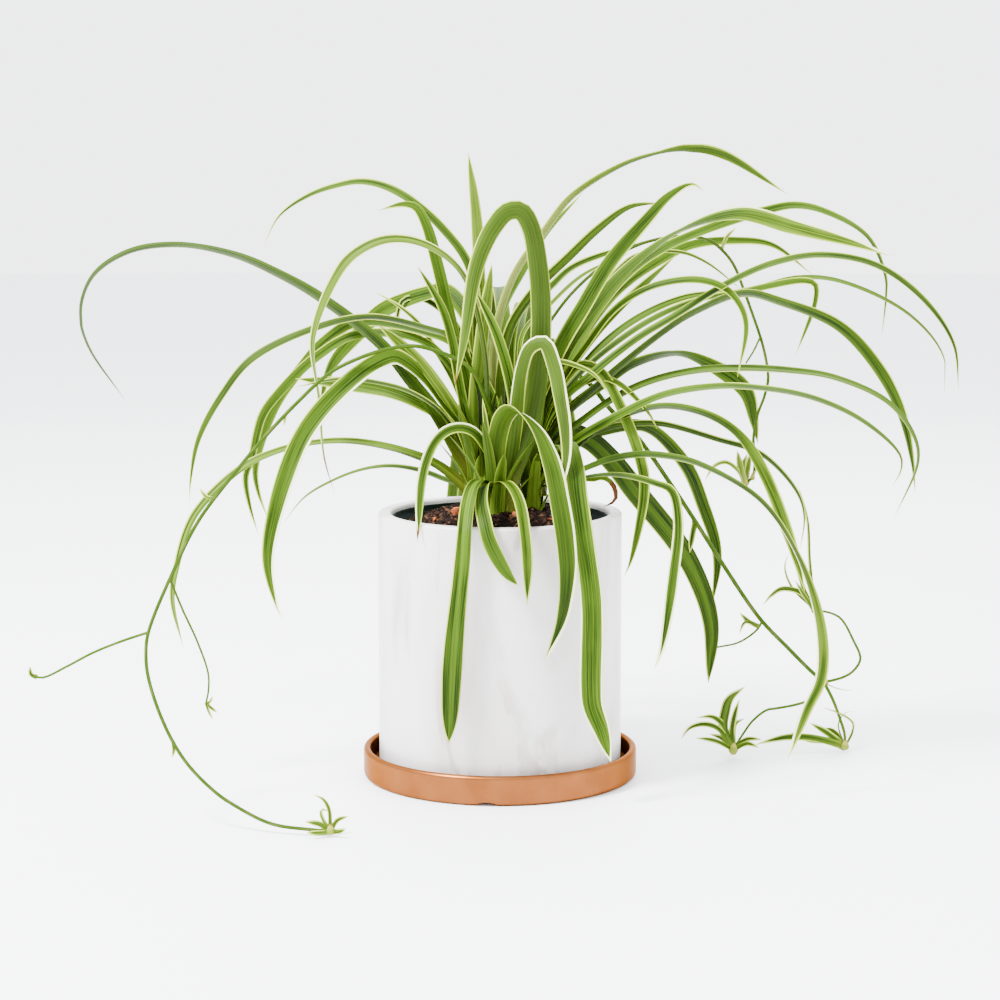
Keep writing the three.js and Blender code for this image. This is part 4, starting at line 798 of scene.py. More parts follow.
# %% The lines of the rosettes
SOIL_LEVEL = 186
CROWN_SPREAD = 4.5  # how far a foot may lie from its crown's middle
FOOT_BELOW_TIP, FOOT_BELOW_PLACE = 16, 9  # millimetres under the crown's tip and the leaf's first place
CROWNS = {  # x, y and height of each crown
    "front": (-3, -24, 204), "left": (-14, 4, 212), "right": (22, -6, 212), "back": (6, 24, 216),
}
CLUMPS = {  # rows, which way a turn goes, dry tips and powers of blunt tips by number of leaf
    "left": (LEFT_LEAVES, 1, {0: 0.965, 3: 0.93}, {}),
    "front": (FRONT_LEAVES, 1, {0: 0.975, 6: 0.95}, {3: 9, 4: 6}),
    "right": (RIGHT_LEAVES, -1, {25: 0.72}, {0: 8, 14: 6, 19: 7}),
    "back": (BACK_LEAVES, -1, {}, {}),
}


def crown_foot(name, first):
    """Where a leaf starts inside its crown, below its first place."""
    x, y, tip = CROWNS[name]
    lean = Vector((first[0] - x, first[1] - y, 0))
    lean = lean.normalized() * min(lean.length, CROWN_SPREAD)
    return np.array([x + lean.x, y + lean.y, min(tip - FOOT_BELOW_TIP, first[2] - FOOT_BELOW_PLACE)])


def rosette_strands(name, rows, hand, dry_tips, blunt_tips):
    """The stations of every seen leaf of one clump."""
    strands = []
    for i, (widths, depths, turns, seen, tone, margin) in enumerate(rows):
        places = slide(depths, seen)
        places = np.vstack([crown_foot(name, places[0]), places])
        strands.append(leaf_stations(
            places, widths, turns, hand, tone, margin,
            dry=dry_tips.get(i, NEVER_DRY), point=blunt_tips.get(i, TIP_POWER)))
    return strands


rosettes = {name: rosette_strands(name, *clump) for name, clump in CLUMPS.items()}
print("seen leaves:", {name: len(strands) for name, strands in rosettes.items()})

# %% [markdown]
# The leaves behind rise from their crown in an arch and fall to their tips, all by one pattern: how
# far out and how high a place lies, as shares of the leaf's reach and of its rise or fall.

# %% The lines of the rear leaves
REAR_TONE = 0.3
REAR_RISE = ((0.02, 0.35), (0.1, 0.7), (0.28, 0.94), (0.5, 1))  # out, and up from the soil
REAR_FALL = ((0.72, 0.28), (0.9, 0.7), (1, 1))  # out, and down from the top of the arch to the tip


def rear_strand(width, heading, reach, rise, tip):
    """A leaf that arches away behind, which no line of sight shows."""
    x, y, _ = CROWNS["back"]
    a = math.radians(heading)
    high = SOIL_LEVEL + rise
    arch = [(out * reach, SOIL_LEVEL + up * rise) for out, up in REAR_RISE]
    arch += [(out * reach, high + down * (tip - high)) for out, down in REAR_FALL]
    places = [(x, y, SOIL_LEVEL + 2)] + [(x + r * math.cos(a), y + r * math.sin(a), z) for r, z in arch]
    return leaf_stations(places, width, [0], 1, REAR_TONE)


rosettes["back"] += [rear_strand(*row) for row in REAR_LEAVES]
print("leaves:", {name: len(strands) for name, strands in rosettes.items()})

# %% [markdown]
# A blade's thickness and the depth of its channel are told as shares of its half width, so a broad
# leaf is also the thicker one, and the tip thins out as it narrows.

# %% Growing the rosettes
SECTION_POINTS = 14
THICKNESS = 0.075  # half of it, as a share of the half width
CHANNEL = 0.24


def grow_leaves(name, strands, section=SECTION_POINTS, thickness=THICKNESS):
    """One piece with all the leaves of the strands."""
    return grow(name, point_mesh(name + "_lines", strands), leaf_tree, Section_points=section,
                Thickness=thickness, Channel=CHANNEL, Finish=leaf_finish)


plant = {
    "rosette_" + name: grow_leaves("leaves_" + name, strands) for name, strands in rosettes.items()}

# %% [markdown]
# At the soil each clump is wrapped in sheaths: the broad bases of its inner leaves, one inside the
# other in a fan. The outer ones are short and lime green, the inner ones longer and deeper.

# %% Sheaths
SHEATHS = 11
SHEATH_FOOT = SOIL_LEVEL - 6
GOLDEN_TURN = 2.4  # radians from one sheath to the next, as leaves grow on a stem
TURN_JITTER, RISE_JITTER = 0.25, 5  # radians and millimetres, either way
SHEATH_STEPS = (0, 0.3, 0.6, 0.85, 1)  # shares of the rise
SIDEWAYS = 0.5  # how much more a sheath leans to the left or right than to the front or back
SHEATH_RANGES = (  # the value of the outermost sheath, and what the innermost has more
    (5.2, -3.6), (34, 58), (0.42, -0.24), (0.6, -0.45),  # distance out, rise, lean and tone
    (12, -2), (10, -1.5), (8, -1), (6, 0),  # widths from foot to tip
)


def sheath_strands(seed, x, y):
    """A fan of sheaths round one crown, from the outermost to the innermost."""
    rng = np.random.default_rng(seed)
    strands = []
    for i in range(SHEATHS):
        share = i / (SHEATHS - 1)
        out, rise, lean, tone, *widths = (first + more * share for first, more in SHEATH_RANGES)
        a = GOLDEN_TURN * i + rng.uniform(-TURN_JITTER, TURN_JITTER)
        rise += rng.uniform(-RISE_JITTER, RISE_JITTER)
        lean = lean * rise * (1 + SIDEWAYS * abs(math.cos(a)))
        way = np.array([math.cos(a), math.sin(a), 0])
        start = np.array([x, y, SHEATH_FOOT]) + way * out
        places = [start + way * lean * up * up + np.array([0, 0, rise * up]) for up in SHEATH_STEPS]
        strands.append(leaf_stations(places, widths, [0], 1, tone, 0.1, spacing=3.0))
    return strands


sheaths = [
    strand for seed, (x, y, _) in enumerate(CROWNS.values()) for strand in sheath_strands(seed, x, y)]
crowns = grow_leaves("sheaths", sheaths)

# %% [markdown]
# ## The runners
#
# A runner is a long stem that the plant throws out to set its young down. It forks at joints with a
# small pointed bract, and ends in plantlets: a pale swollen base, a fan of small leaves and the
# stubs of the first roots. Every shoot starts at the nearest place of the stems it grows from, and
# its depths are told from there.

# %% The lines of the shoots
STEM_FOOT = SOIL_LEVEL - 8
LINE_START = 60  # steps of the main line that lie hidden in the crown, where no shoot starts
MAIN_TAPER, SHOOT_TAPER = (1, 0.95, 0.85), (1, 0.8)  # radius from foot to tip, as shares
MAIN_TONE, SHOOT_TONE = 0.15, 0.25


def seen_from(points):
    """The places on the middle plane where points are seen: slide, the other way round."""
    k = 1 - points[:, 1] / EYE[0]
    return np.column_stack([points[:, 0] / k, EYE[1] + (points[:, 2] - EYE[1]) / k])


def shoot_line(stems, depths, seen):
    """A shoot's places, from the nearest place of the stems it grows from."""
    nodes = np.vstack(stems)
    gap = np.linalg.norm(seen_from(nodes) - np.array(seen[:2]), axis=1)
    root = nodes[int(np.argmin(gap))]
    return np.vstack([root, slide([root[1] + depth for depth in depths], seen)[1:]])


def shoot_strands(shoots):
    """The lines and stations of a runner's stems: the main one first, then those that fork off."""
    thick, depths, seen = shoots[0]
    places = slide(depths, seen)
    main = np.vstack([[*places[0][:2], STEM_FOOT], places])
    lines = [smooth_line(main)[LINE_START:]]
    stems = [stem_stations(main, [thick * share for share in MAIN_TAPER], MAIN_TONE)]
    for radius, away, seen in shoots[1:]:
        line = shoot_line(lines, away, seen)
        lines.append(smooth_line(line))
        stems.append(stem_stations(line, [radius * share for share in SHOOT_TAPER], SHOOT_TONE))
    return lines, stems


strung = {name: shoot_strands(runner["stems"]) for name, runner in RUNNERS.items()}
print("shoots:", {name: len(stems) for name, (_, stems) in strung.items()})

# %% [markdown]
# Buds are short stems that swell. The large ones are the pale feet of plantlets, the small ones the
# brown joints. The young leaves at them are narrow, pale at the foot and run to a long point.

# %% Buds and small leaves
BUD_HEIGHTS = (-0.95, -0.4, 0.3, 0.9, 1.4)  # heights along a bud, in radii
BUD_SHAPE = (0.45, 0.85, 0.8, 0.5, 0.25)  # radius at those heights, as shares
PLANTLET_BUD = 3.1  # a bud with a larger radius carries a plantlet
PLANTLET_TONES, JOINT_TONES = (0.72, 0.68, 0.64, 0.8, 0.95), (0.92, 0.95, 0.85, 0.75, 0.9)
TABLE_GAP = 0.6
SLIM = 4  # millimetres; a small leaf that is broader is drawn in half way to this
YOUTH = {"left": 0.1, "right": 0.0, "back": 0.3}  # how much paler than common the small leaves are
YOUNG_TONES, YOUNG_MARGINS, YOUNG_POINT = np.array([0.5, 0.3, 0.4]), [0.3, 0.55], 2.2


def bud_strand(lines, radius, x, z):
    """A bud at the nearest place of a runner's stems, and never in the table."""
    root = shoot_line(lines, [0], [x, z])[0]
    root[2] = max(root[2], radius + TABLE_GAP)
    base = [root + (0, 0, up * radius) for up in BUD_HEIGHTS]
    tones = PLANTLET_TONES if radius > PLANTLET_BUD else JOINT_TONES
    return stem_stations(base, [share * radius for share in BUD_SHAPE], tones, 0.5)


def small_leaf(lines, youth, widths, away, turns, seen):
    """A young leaf on a runner."""
    widths = np.minimum(widths, (SLIM + np.array(widths)) / 2)
    return leaf_stations(shoot_line(lines, away, seen), widths, turns, 1, YOUNG_TONES + youth,
                         YOUNG_MARGINS, spacing=1.6, point=YOUNG_POINT)


for name, (lines, stems) in strung.items():
    stems += [bud_strand(lines, *bud) for bud in RUNNERS[name]["buds"]]
    small = [small_leaf(lines, YOUTH[name], *row) for row in RUNNERS[name]["leaves"]]
    strung[name] = (stems, small)
    print(name, "runner:", len(stems), "stems and buds,", len(small), "small leaves")

# %% [markdown]
# Small leaves are thick for their width, so they get a rounder section of fewer points.

# %% Growing the runners
STEM_POINTS, SMALL_LEAF_POINTS, SMALL_LEAF_THICKNESS = 10, 10, 0.11
runners = {}
for name, (stems, small) in strung.items():
    rods = grow("stems_" + name, point_mesh("stems_" + name + "_lines", stems), stem_tree,
                Section_points=STEM_POINTS, Finish=stem_finish)
    plantlets = grow_leaves("plantlets_" + name, small, SMALL_LEAF_POINTS, SMALL_LEAF_THICKNESS)
    runners[name] = (rods, plantlets)

# %% [markdown]
# ## Pottery and metal
#
# The planter, its saucer and the grow pot inside are all turned shapes: one outline, spun about the
# upright axis. In Blender the Screw modifier does that. The outlines use the sizes of the solids,
# with rounder corners, so that light runs smoothly over each rim.

# %% Turned pieces
TURN_STEPS = 160
SAME_PLACE = 1e-6  # metres
CORNER_STEPS = 7


def corner(r, z, radius, start, end, steps=CORNER_STEPS):
    """Points of a rounded corner about (r, z), between two angles in degrees."""
    turns = np.radians(np.linspace(start, end, steps + 1))
    return [(r + radius * math.cos(a), z + radius * math.sin(a)) for a in turns]


def turned(name, outline, finish):
    """A closed body of revolution from an outline that starts and ends on the axis."""
    mesh = bpy.data.meshes.new(name + "_outline")
    steps = [(i, i + 1) for i in range(len(outline) - 1)]
    mesh.from_pydata([(r * MM, 0, z * MM) for r, z in outline], steps, [])
    source = keep(name + "_outline", mesh)
    spin = source.modifiers.new("Spin", "SCREW")
    spin.axis = "Z"
    spin.steps = spin.render_steps = TURN_STEPS
    spin.use_merge_vertices = True
    spin.merge_threshold = SAME_PLACE
    body = plain_mesh(source)
    bpy.data.objects.remove(source)
    work = bmesh.new()
    work.from_mesh(body)
    bmesh.ops.remove_doubles(work, verts=work.verts, dist=SAME_PLACE)
    bmesh.ops.recalc_face_normals(work, faces=work.faces)
    if work.calc_volume(signed=True) < 0:
        bmesh.ops.reverse_faces(work, faces=work.faces)
    for face in work.faces:
        face.smooth = True
    work.to_mesh(body)
    work.free()
    print(name, "has", len(body.polygons), "faces")
    return keep(name, body, finish)


print("a corner of 3 mm has", len(corner(0, 0, 3, 0, 90)), "points")

# %% [markdown]
# ### Marbled porcelain
#
# The planter is white glazed ceramic with a marble pattern under the glaze: soft grey-beige veins
# that drift down it at a slant. Distorted noise in two sizes gives the broad clouds and the few
# fine veins. The glaze is satin, so highlights stay broad.

# %% Porcelain finish
GLAZE_IOR = 1.5
CLOUD, WANDER = 91, 143  # millimetres: the clouds, and the field that the veins run through
VEIN_WIDTH = 0.035  # as noise that departs from its middle value
SLANT, DRAWN_OUT = (0.15, -0.42, 0.3), (1.0, 1.0, 0.34)  # turn in radians, and three times as tall
porcelain, tree = new_finish("Satin glazed porcelain, marbled")
place = put(tree, PLACE, out="Object")
slant = put(tree, "ShaderNodeMapping", {"Vector": place, "Rotation": SLANT, "Scale": DRAWN_OUT})
cloud = put(tree, NOISE, {
    "Vector": slant, "Scale": 1 / (CLOUD * MM), "Detail": 4.0, "Roughness": 0.5, "Distortion": 1.2})
wander = put(tree, NOISE, {
    "Vector": slant, "Scale": 1 / (WANDER * MM), "Detail": 6.0, "Roughness": 0.55, "Distortion": 2.2})
vein = put(tree, MATH, [put(tree, MATH, [wander, 0.5], operation="SUBTRACT")], operation="ABSOLUTE")
vein = put(tree, RANGE, [vein, 0.0, VEIN_WIDTH, 1.0, 0.0], **SOFT)
vein = put(tree, MATH, [vein, put(tree, RANGE, [cloud, 0.48, 0.7], **SOFT)], operation="MULTIPLY")
vein = put(tree, MATH, [vein, 0.8], operation="MULTIPLY")
cloudy = put(tree, RANGE, [cloud, 0.44, 0.74, 0.0, 0.85], **SOFT)
glaze = put(tree, MIX, {0: cloudy, 6: paint("#D0CCCA"), 7: paint("#ACA59F")}, **COLOUR)
glaze = put(tree, MIX, {0: vein, 6: glaze, 7: paint("#91877F")}, **COLOUR)
put(tree, SURFACE, [put(tree, SKIN, {"Base Color": glaze, "Roughness": 0.34, "IOR": GLAZE_IOR})])
print("porcelain with", len(tree.nodes), "nodes")

# %% [markdown]
# ### Satin copper
#
# The saucer has a copper finish, brushed round on the wheel and lacquered to a satin. Fine rings of
# noise, about a millimetre apart by their distance from the axis, break the highlight a little. Real
# brush marks are finer, but would not show. Inside the rolled lip the copper is darkened by painted
# shade, which stands for the shadow that the planter and the lip cast in the dish.

# %% Copper finish
BRUSH_MARK, WORN_PATCH = 1.11, 22.2  # millimetres
INSIDE_LIP, OVER_FOOT = 90.5 * MM, 2 * MM
copper, tree = new_finish("Satin copper, brushed round")
place = put(tree, PLACE, out="Object")
x, y, z = put(tree, SPLIT_XYZ, [place]).node.outputs
squares = [put(tree, MATH, [way, 2.0], operation="POWER") for way in (x, y)]
away = put(tree, MATH, [put(tree, MATH, squares, operation="ADD")], operation="SQRT")
round_axis = put(tree, JOIN_XYZ, {"X": away, "Y": z})
brushed = put(tree, NOISE, {"Vector": round_axis, "Scale": 1 / (BRUSH_MARK * MM), "Detail": 3.0})
wear = put(tree, NOISE, {"Vector": place, "Scale": 1 / (WORN_PATCH * MM), "Detail": 5.0})
worn = put(tree, RANGE, [wear, 0.35, 0.7], **SOFT)
metal = put(tree, MIX, {0: worn, 6: paint("#7C4A26"), 7: paint("#72411F")}, **COLOUR)
# Painted shade: inside the lip and above the foot the copper is darkened, for the shadow in the dish.
within = put(tree, MATH, [away, INSIDE_LIP], operation="LESS_THAN")
above = put(tree, MATH, [z, OVER_FOOT], operation="GREATER_THAN")
painted_lip_shade = put(tree, MATH, [within, above], operation="MULTIPLY")
metal = put(tree, MIX, {0: painted_lip_shade, 6: metal, 7: paint("#341A0E")}, **COLOUR)
bumps = put(tree, BUMP, {"Height": brushed, "Strength": 0.08, "Distance": 0.2 * MM})
skin = put(tree, SKIN, {
    "Base Color": metal, "Metallic": 1.0, "Roughness": 0.34, "Specular Tint": paint("#E2C6B4"),
    "Normal": bumps})
put(tree, SURFACE, [skin])
print("copper with", len(tree.nodes), "nodes")

# %% [markdown]
# ### Moulded polypropylene
#
# The nursery pot is thin dark green polypropylene, moulded with a slight orange-peel skin, and dusty
# from the soil. That leaves it dark and nearly without gleam.

# %% Grow pot finish
PLASTIC_IOR = 1.49
PEEL, DUST_PATCH = 2.38, 16.7  # millimetres
polypropylene, tree = new_finish("Polypropylene, moulded dark green")
place = put(tree, PLACE, out="Object")
peel = put(tree, NOISE, {"Vector": place, "Scale": 1 / (PEEL * MM), "Detail": 2.0})
dust = put(tree, NOISE, {"Vector": place, "Scale": 1 / (DUST_PATCH * MM), "Detail": 5.0})
dusty = put(tree, RANGE, [dust, 0.5, 0.75, 0.0, 0.25], **SOFT)
plastic = put(tree, MIX, {0: dusty, 6: paint("#03120C"), 7: paint("#14150E")}, **COLOUR)
bumps = put(tree, BUMP, {"Height": peel, "Strength": 0.1, "Distance": 0.3 * MM})
skin = put(tree, SKIN, {
    "Base Color": plastic, "Roughness": 0.7, "IOR": PLASTIC_IOR, "Specular IOR Level": 0.05,
    "Normal": bumps})
put(tree, SURFACE, [skin])
print("polypropylene with", len(tree.nodes), "nodes")

# %% [markdown]
# Now the three outlines, in millimetres from the axis and above the table. Each corner is told by
# its middle, its radius and its first and last angle. The saucer keeps the small arched notch under
# its front rim, through which a finger lifts it off a table. A Boolean cuts it out.

# %% Saucer
saucer = turned("saucer_dish", [
    (0, 0), *corner(92, 3, 3, -90, 0), *corner(92.5, 17.5, 2.5, 0, 180, 12),
    *corner(87, 9.7, 3, 0, -90), (0, 6.7),
], copper)

# %% Notch in the saucer
NOTCH_HALF, NOTCH_RISE, NOTCH_X = 8.5, 2.6, -9  # half its width, its height and its middle
NOTCH_DEPTHS = (-82, -96)  # from well inside the rim to past it
ARCH_POINTS = 17
arc = (NOTCH_HALF ** 2 + NOTCH_RISE ** 2) / (2 * NOTCH_RISE)
half_arc = math.asin(NOTCH_HALF / arc)
turns = np.linspace(-half_arc, half_arc, ARCH_POINTS)
arch = [(arc * math.sin(a), NOTCH_RISE - arc + arc * math.cos(a)) for a in turns]
arch = [(-NOTCH_HALF, -1), *arch, (NOTCH_HALF, -1)]
ends = [((x + NOTCH_X) * MM, y * MM, z * MM) for y in NOTCH_DEPTHS for x, z in arch]
count = len(arch)
cutter_mesh = bpy.data.meshes.new("notch")
cutter_mesh.from_pydata(ends, [], [
    list(range(count)), list(range(2 * count - 1, count - 1, -1)),
    *[[i, i + count, (i + 1) % count + count, (i + 1) % count] for i in range(count)]])
work = bmesh.new()
work.from_mesh(cutter_mesh)
bmesh.ops.recalc_face_normals(work, faces=work.faces)
work.to_mesh(cutter_mesh)
work.free()
cutter = keep("notch_cutter", cutter_mesh)
cut = saucer.modifiers.new("Notch", "BOOLEAN")
cut.operation, cut.solver, cut.object = "DIFFERENCE", "EXACT", cutter
saucer_mesh = plain_mesh(saucer)
saucer.modifiers.remove(cut)
saucer.data = saucer_mesh
bpy.data.objects.remove(cutter)
print("saucer with its notch has", len(saucer_mesh.polygons), "faces")

# %% [markdown]
# The planter is a plain round wall with a rounded rim. The grow pot stands inside it: its wall leans
# outwards, and a step near the top carries its lip.

# %% Planter and grow pot
POT_LOW, POT_TOP, POT_BASE, POT_RIM = 15.3, 181, 55, 74.4  # two heights and two radii
LIP, WALL = 5, 1.6  # height of the grow pot's lip and thickness of its wall
planter = turned("planter_shell", [
    (0, 7), *corner(81, 10, 3, -90, 0), *corner(82, 182, 2, 0, 90), *corner(77, 182, 2, 90, 180),
    *corner(72, 18, 3, 0, -90), (0, 15),
], porcelain)
shoulder = POT_TOP - LIP


def pot_radius(z):
    """The grow pot's outer radius at a height under its lip."""
    return POT_BASE + (POT_RIM - LIP / 2 - POT_BASE) * (z - POT_LOW) / (POT_TOP - POT_LOW)


grow_pot = turned("nursery_pot", [
    (0, POT_LOW), *corner(POT_BASE - 1.5, POT_LOW + 1.5, 1.5, -90, -8), (pot_radius(shoulder), shoulder),
    *corner(POT_RIM - 0.6, shoulder + 0.6, 0.6, -90, 0, 3),
    *corner(POT_RIM - 0.8, POT_TOP - 0.8, 0.8, 0, 180, 6),
    (POT_RIM - WALL, shoulder + WALL), (pot_radius(shoulder) - WALL, shoulder + 0.8),
    (pot_radius(POT_LOW) - WALL, POT_LOW + 2), (0, POT_LOW + 2),
], polypropylene)

# %% [markdown]
# ## Potting mix
#
# The mix is bark and peat in crumbs of one to four millimetres, nearly black where it is moist. The
# lumps of one noise show in the colour and raise the skin, and each crumb has its own shade. A moist
# mix scatters light and hardly gleams.

# %% Potting mix finish
LUMP, LUMP_HEIGHT = 3.85, 1.2  # millimetres
potting_mix, tree = new_finish("Potting mix, moist bark and peat")
place = put(tree, PLACE, out="Object")
lump = put(tree, NOISE, {"Vector": place, "Scale": 1 / (LUMP * MM), "Detail": 6.0, "Roughness": 0.7})
own_shade = put(tree, MATH, [put(tree, FACT, out="Fac", attribute_name="shade"), 0.6], operation="MULTIPLY")
mixed = put(tree, MATH, [lump, 0.55, own_shade], operation="MULTIPLY_ADD")
earth = put(tree, RAMP, [mixed], stops=(
    (0.2, "#0A0604"), (0.5, "#180E08"), (0.72, "#2E1D14"), (0.93, "#5C402C")))
bumps = put(tree, BUMP, {"Height": lump, "Strength": 0.6, "Distance": LUMP_HEIGHT * MM})
skin = put(tree, SKIN, {
    "Base Color": earth, "Roughness": 0.9, "IOR": 1.4, "Specular IOR Level": 0.1, "Normal": bumps})
put(tree, SURFACE, [skin])
print("potting mix with", len(tree.nodes), "nodes")

# %% [markdown]
# The ground under the crumbs is a fine mound with the same swell as the solid. It is built ring by
# ring in mesh code, because its outline has to stay clear of the grow pot's wall all the way down.

# %% Lie of the soil
SOIL_LOW, BRIM_LEVEL, MOUND = POT_LOW + 2.3, 171, 18  # two heights, and how much higher the middle is
WAVE_HEIGHT = 1.3
ROUGHNESS = ((3, 0.35, 1.1), (9, 0.9, 0.5))  # layer of the noise, lumps to a millimetre and height


def swell(x, y):
    """The height of the solid's mound at a place, whose waves bend each other."""
    wave = math.sin(0.61 * x + 1.3 * math.sin(0.23 * y)) * math.cos(0.47 * y + 0.9 * math.sin(0.31 * x))
    mound = BRIM_LEVEL + MOUND * max(0, 1 - (x * x + y * y) / POT_RIM ** 2)
    return mound + WAVE_HEIGHT * wave


def soil_place(x, y):
    """A point of the fine ground in metres."""
    rough = sum(noise.noise(Vector((x, y, layer)) * lumps) * high for layer, lumps, high in ROUGHNESS)
    return (x * MM, y * MM, (swell(x, y) + rough) * MM)


print("the middle of the mound is", round(soil_place(0, 0)[2] / MM, 1), "mm high")

# %% Soil surface
RINGS, SIDES = 30, 120
GAP = 0.3  # between soil and pot
MARGIN_TOP, MARGIN_LOW = 0.4, 0.5  # more room at the brim and at the floor
brim = pot_radius(BRIM_LEVEL) - WALL - GAP - MARGIN_TOP
low_radius = pot_radius(SOIL_LOW) - WALL - GAP - MARGIN_LOW
rounds = [brim * (ring + 1) / RINGS for ring in range(RINGS)]
angles = [2 * math.pi * i / SIDES for i in range(SIDES)]
verts = [soil_place(0, 0)]
verts += [soil_place(r * math.cos(a), r * math.sin(a)) for r in rounds for a in angles]
verts += [(low_radius * math.cos(a) * MM, low_radius * math.sin(a) * MM, SOIL_LOW * MM) for a in angles]
faces = [(0, 1 + i, 1 + (i + 1) % SIDES) for i in range(SIDES)]
for ring in range(RINGS):
    a, b = 1 + ring * SIDES, 1 + (ring + 1) * SIDES
    faces += [(a + i, b + i, b + (i + 1) % SIDES, a + (i + 1) % SIDES) for i in range(SIDES)]
faces.append(tuple(1 + RINGS * SIDES + i for i in reversed(range(SIDES))))
soil_mesh = bpy.data.meshes.new("soil")
soil_mesh.from_pydata(verts, [], faces)
soil_mesh.attributes.new("shade", "FLOAT", "POINT")
for polygon in soil_mesh.polygons:
    polygon.use_smooth = True
soil = keep("potting_soil", soil_mesh, potting_mix)

# %% [markdown]
# A tree scatters crumbs over the mound, each a low stone shape that is squashed and turned at random
# from a fixed seed, and gives each its shade. The outermost ring of the ground is left bare, so that
# no crumb stands in the wall.

# %% Tree for crumbs
RANDOM, RANDOM_VECTOR = "FunctionNodeRandomValue", {"data_type": "FLOAT_VECTOR"}
DENSEST = 400000.0  # crumbs to a square metre
FLATTEST, FULLEST = (0.7, 0.6, 0.35), (1.7, 1.1, 0.8)  # length, width and height, as shares of the size
LEAST_TURN, MOST_TURN = (-0.7, -0.7, 0.0), (0.7, 0.7, 6.28)  # radians
crumb_tree, given = new_tree(
    "Soil crumbs", Spacing="Float", Small="Float", Large="Float", Seed="Int", Finish="Material")
tree = crumb_tree
spots = put(tree, "GeometryNodeDistributePointsOnFaces", {
    "Mesh": given["Mesh"], "Distance Min": given["Spacing"], "Density Max": DENSEST,
    "Seed": given["Seed"]}, distribute_method="POISSON")
stone = put(tree, "GeometryNodeMeshIcoSphere", {"Radius": 1.0, "Subdivisions": 1})
size = put(tree, RANDOM, {2: given["Small"], 3: given["Large"], "Seed": 1}, out=1)
shape = put(tree, RANDOM, {0: FLATTEST, 1: FULLEST, "Seed": 2}, **RANDOM_VECTOR)
turn = put(tree, RANDOM, {0: LEAST_TURN, 1: MOST_TURN, "Seed": 3}, **RANDOM_VECTOR)
scale = put(tree, VECTORS, {0: shape, "Scale": size}, operation="SCALE")
strewn = put(tree, "GeometryNodeInstanceOnPoints", {
    "Points": spots, "Instance": stone, "Rotation": turn, "Scale": scale})
shade = put(tree, RANDOM, {2: 0.0, 3: 1.0, "Seed": 4}, out=1)
strewn = put(tree, KEEP_FACT, {"Geometry": strewn, "Name": "shade", "Value": shade},
             data_type="FLOAT", domain="INSTANCE")
close_tree(tree, strewn, given["Finish"])

# %% Growing the crumbs
CRUMB_SPACING, SMALL_CRUMB, LARGE_CRUMB = 1.7 * MM, 0.6 * MM, 1.9 * MM  # the crumbs by their radius
strewn_rings = RINGS - 1
ground = bpy.data.meshes.new("ground")
ground.from_pydata(verts[:1 + strewn_rings * SIDES], [], faces[:strewn_rings * SIDES])
crumbs = grow("soil_crumbs", ground, crumb_tree, Spacing=CRUMB_SPACING, Small=SMALL_CRUMB,
              Large=LARGE_CRUMB, Seed=7, Finish=potting_mix)

# %% [markdown]
# Two chips of orange bark show at the front of the pot, with a few smaller ones. Pine bark splits
# along its fibre, so its colour runs in streaks, which look matt and warm. Each chip is the hull of
# a seeded handful of points in a flat box, which looks split rather than cut.

# %% Bark finish
FIBRE = 4.55  # millimetres between the broad streaks, with detail down to a tenth of that
ALONG_FIBRE, SPLIT = (0.2, 0.9, 0.5), (1.0, 1.0, 5.0)  # turn in radians, and how much finer the streaks
pine_bark, tree = new_finish("Pine bark, split")
place = put(tree, PLACE, out="Object")
fibre_at = put(tree, "ShaderNodeMapping", {"Vector": place, "Rotation": ALONG_FIBRE, "Scale": SPLIT})
fibre = put(tree, NOISE, {"Vector": fibre_at, "Scale": 1 / (FIBRE * MM), "Detail": 4.0})
wood = put(tree, RAMP, [fibre], stops=((0.3, "#5A2408"), (0.55, "#94440F"), (0.75, "#B8682C")))
bumps = put(tree, BUMP, {"Height": fibre, "Strength": 0.5, "Distance": 0.6 * MM})
put(tree, SURFACE, [put(tree, SKIN, {"Base Color": wood, "Roughness": 0.75, "Normal": bumps})])
print("bark with", len(tree.nodes), "nodes")

# %% Bark chips
CHIP_POINTS = 16
CHIPS = [  # x and y on the soil, height over it, size and turn in degrees
    (-29.8, -24, 2.0, (5.5, 3.0, 4.0), 20), (10.8, -34, 0.8, (3.6, 2.2, 2.6), -35),
    (-44, -22, 0.8, (3.2, 1.8, 1.6), 60), (34, -30, 0.8, (3.0, 2.0, 1.4), 10),
    (-12, -46, 0.8, (2.6, 1.8, 1.2), 80), (52, 8, 1.0, (4.2, 2.6, 1.8), 40),
    (-38, 30, 1.0, (4.0, 2.8, 1.6), 120), (20, 44, 1.0, (3.6, 2.2, 1.8), 15),
]
rng = np.random.default_rng(11)
work = bmesh.new()
for x, y, lift, size, degrees in CHIPS:
    cloud = rng.uniform(-1, 1, (CHIP_POINTS, 3)) * size
    cloud = cloud / np.maximum(1, np.linalg.norm(cloud / size, axis=1))[:, None]
    a = math.radians(degrees)
    turn = np.array([[math.cos(a), -math.sin(a), 0], [math.sin(a), math.cos(a), 0], [0, 0, 1]])
    cloud = cloud @ turn.T + (x, y, swell(x, y) + lift)
    hull = bmesh.ops.convex_hull(work, input=[work.verts.new(Vector(p) * MM) for p in cloud])
    bmesh.ops.delete(work, geom=[v for v in hull["geom_interior"] if isinstance(v, bmesh.types.BMVert)],
                     context="VERTS")
chip_mesh = bpy.data.meshes.new("chips")
work.to_mesh(chip_mesh)
work.free()
chips = keep("bark_chips", chip_mesh, pine_bark)
print(len(CHIPS), "bark chips")
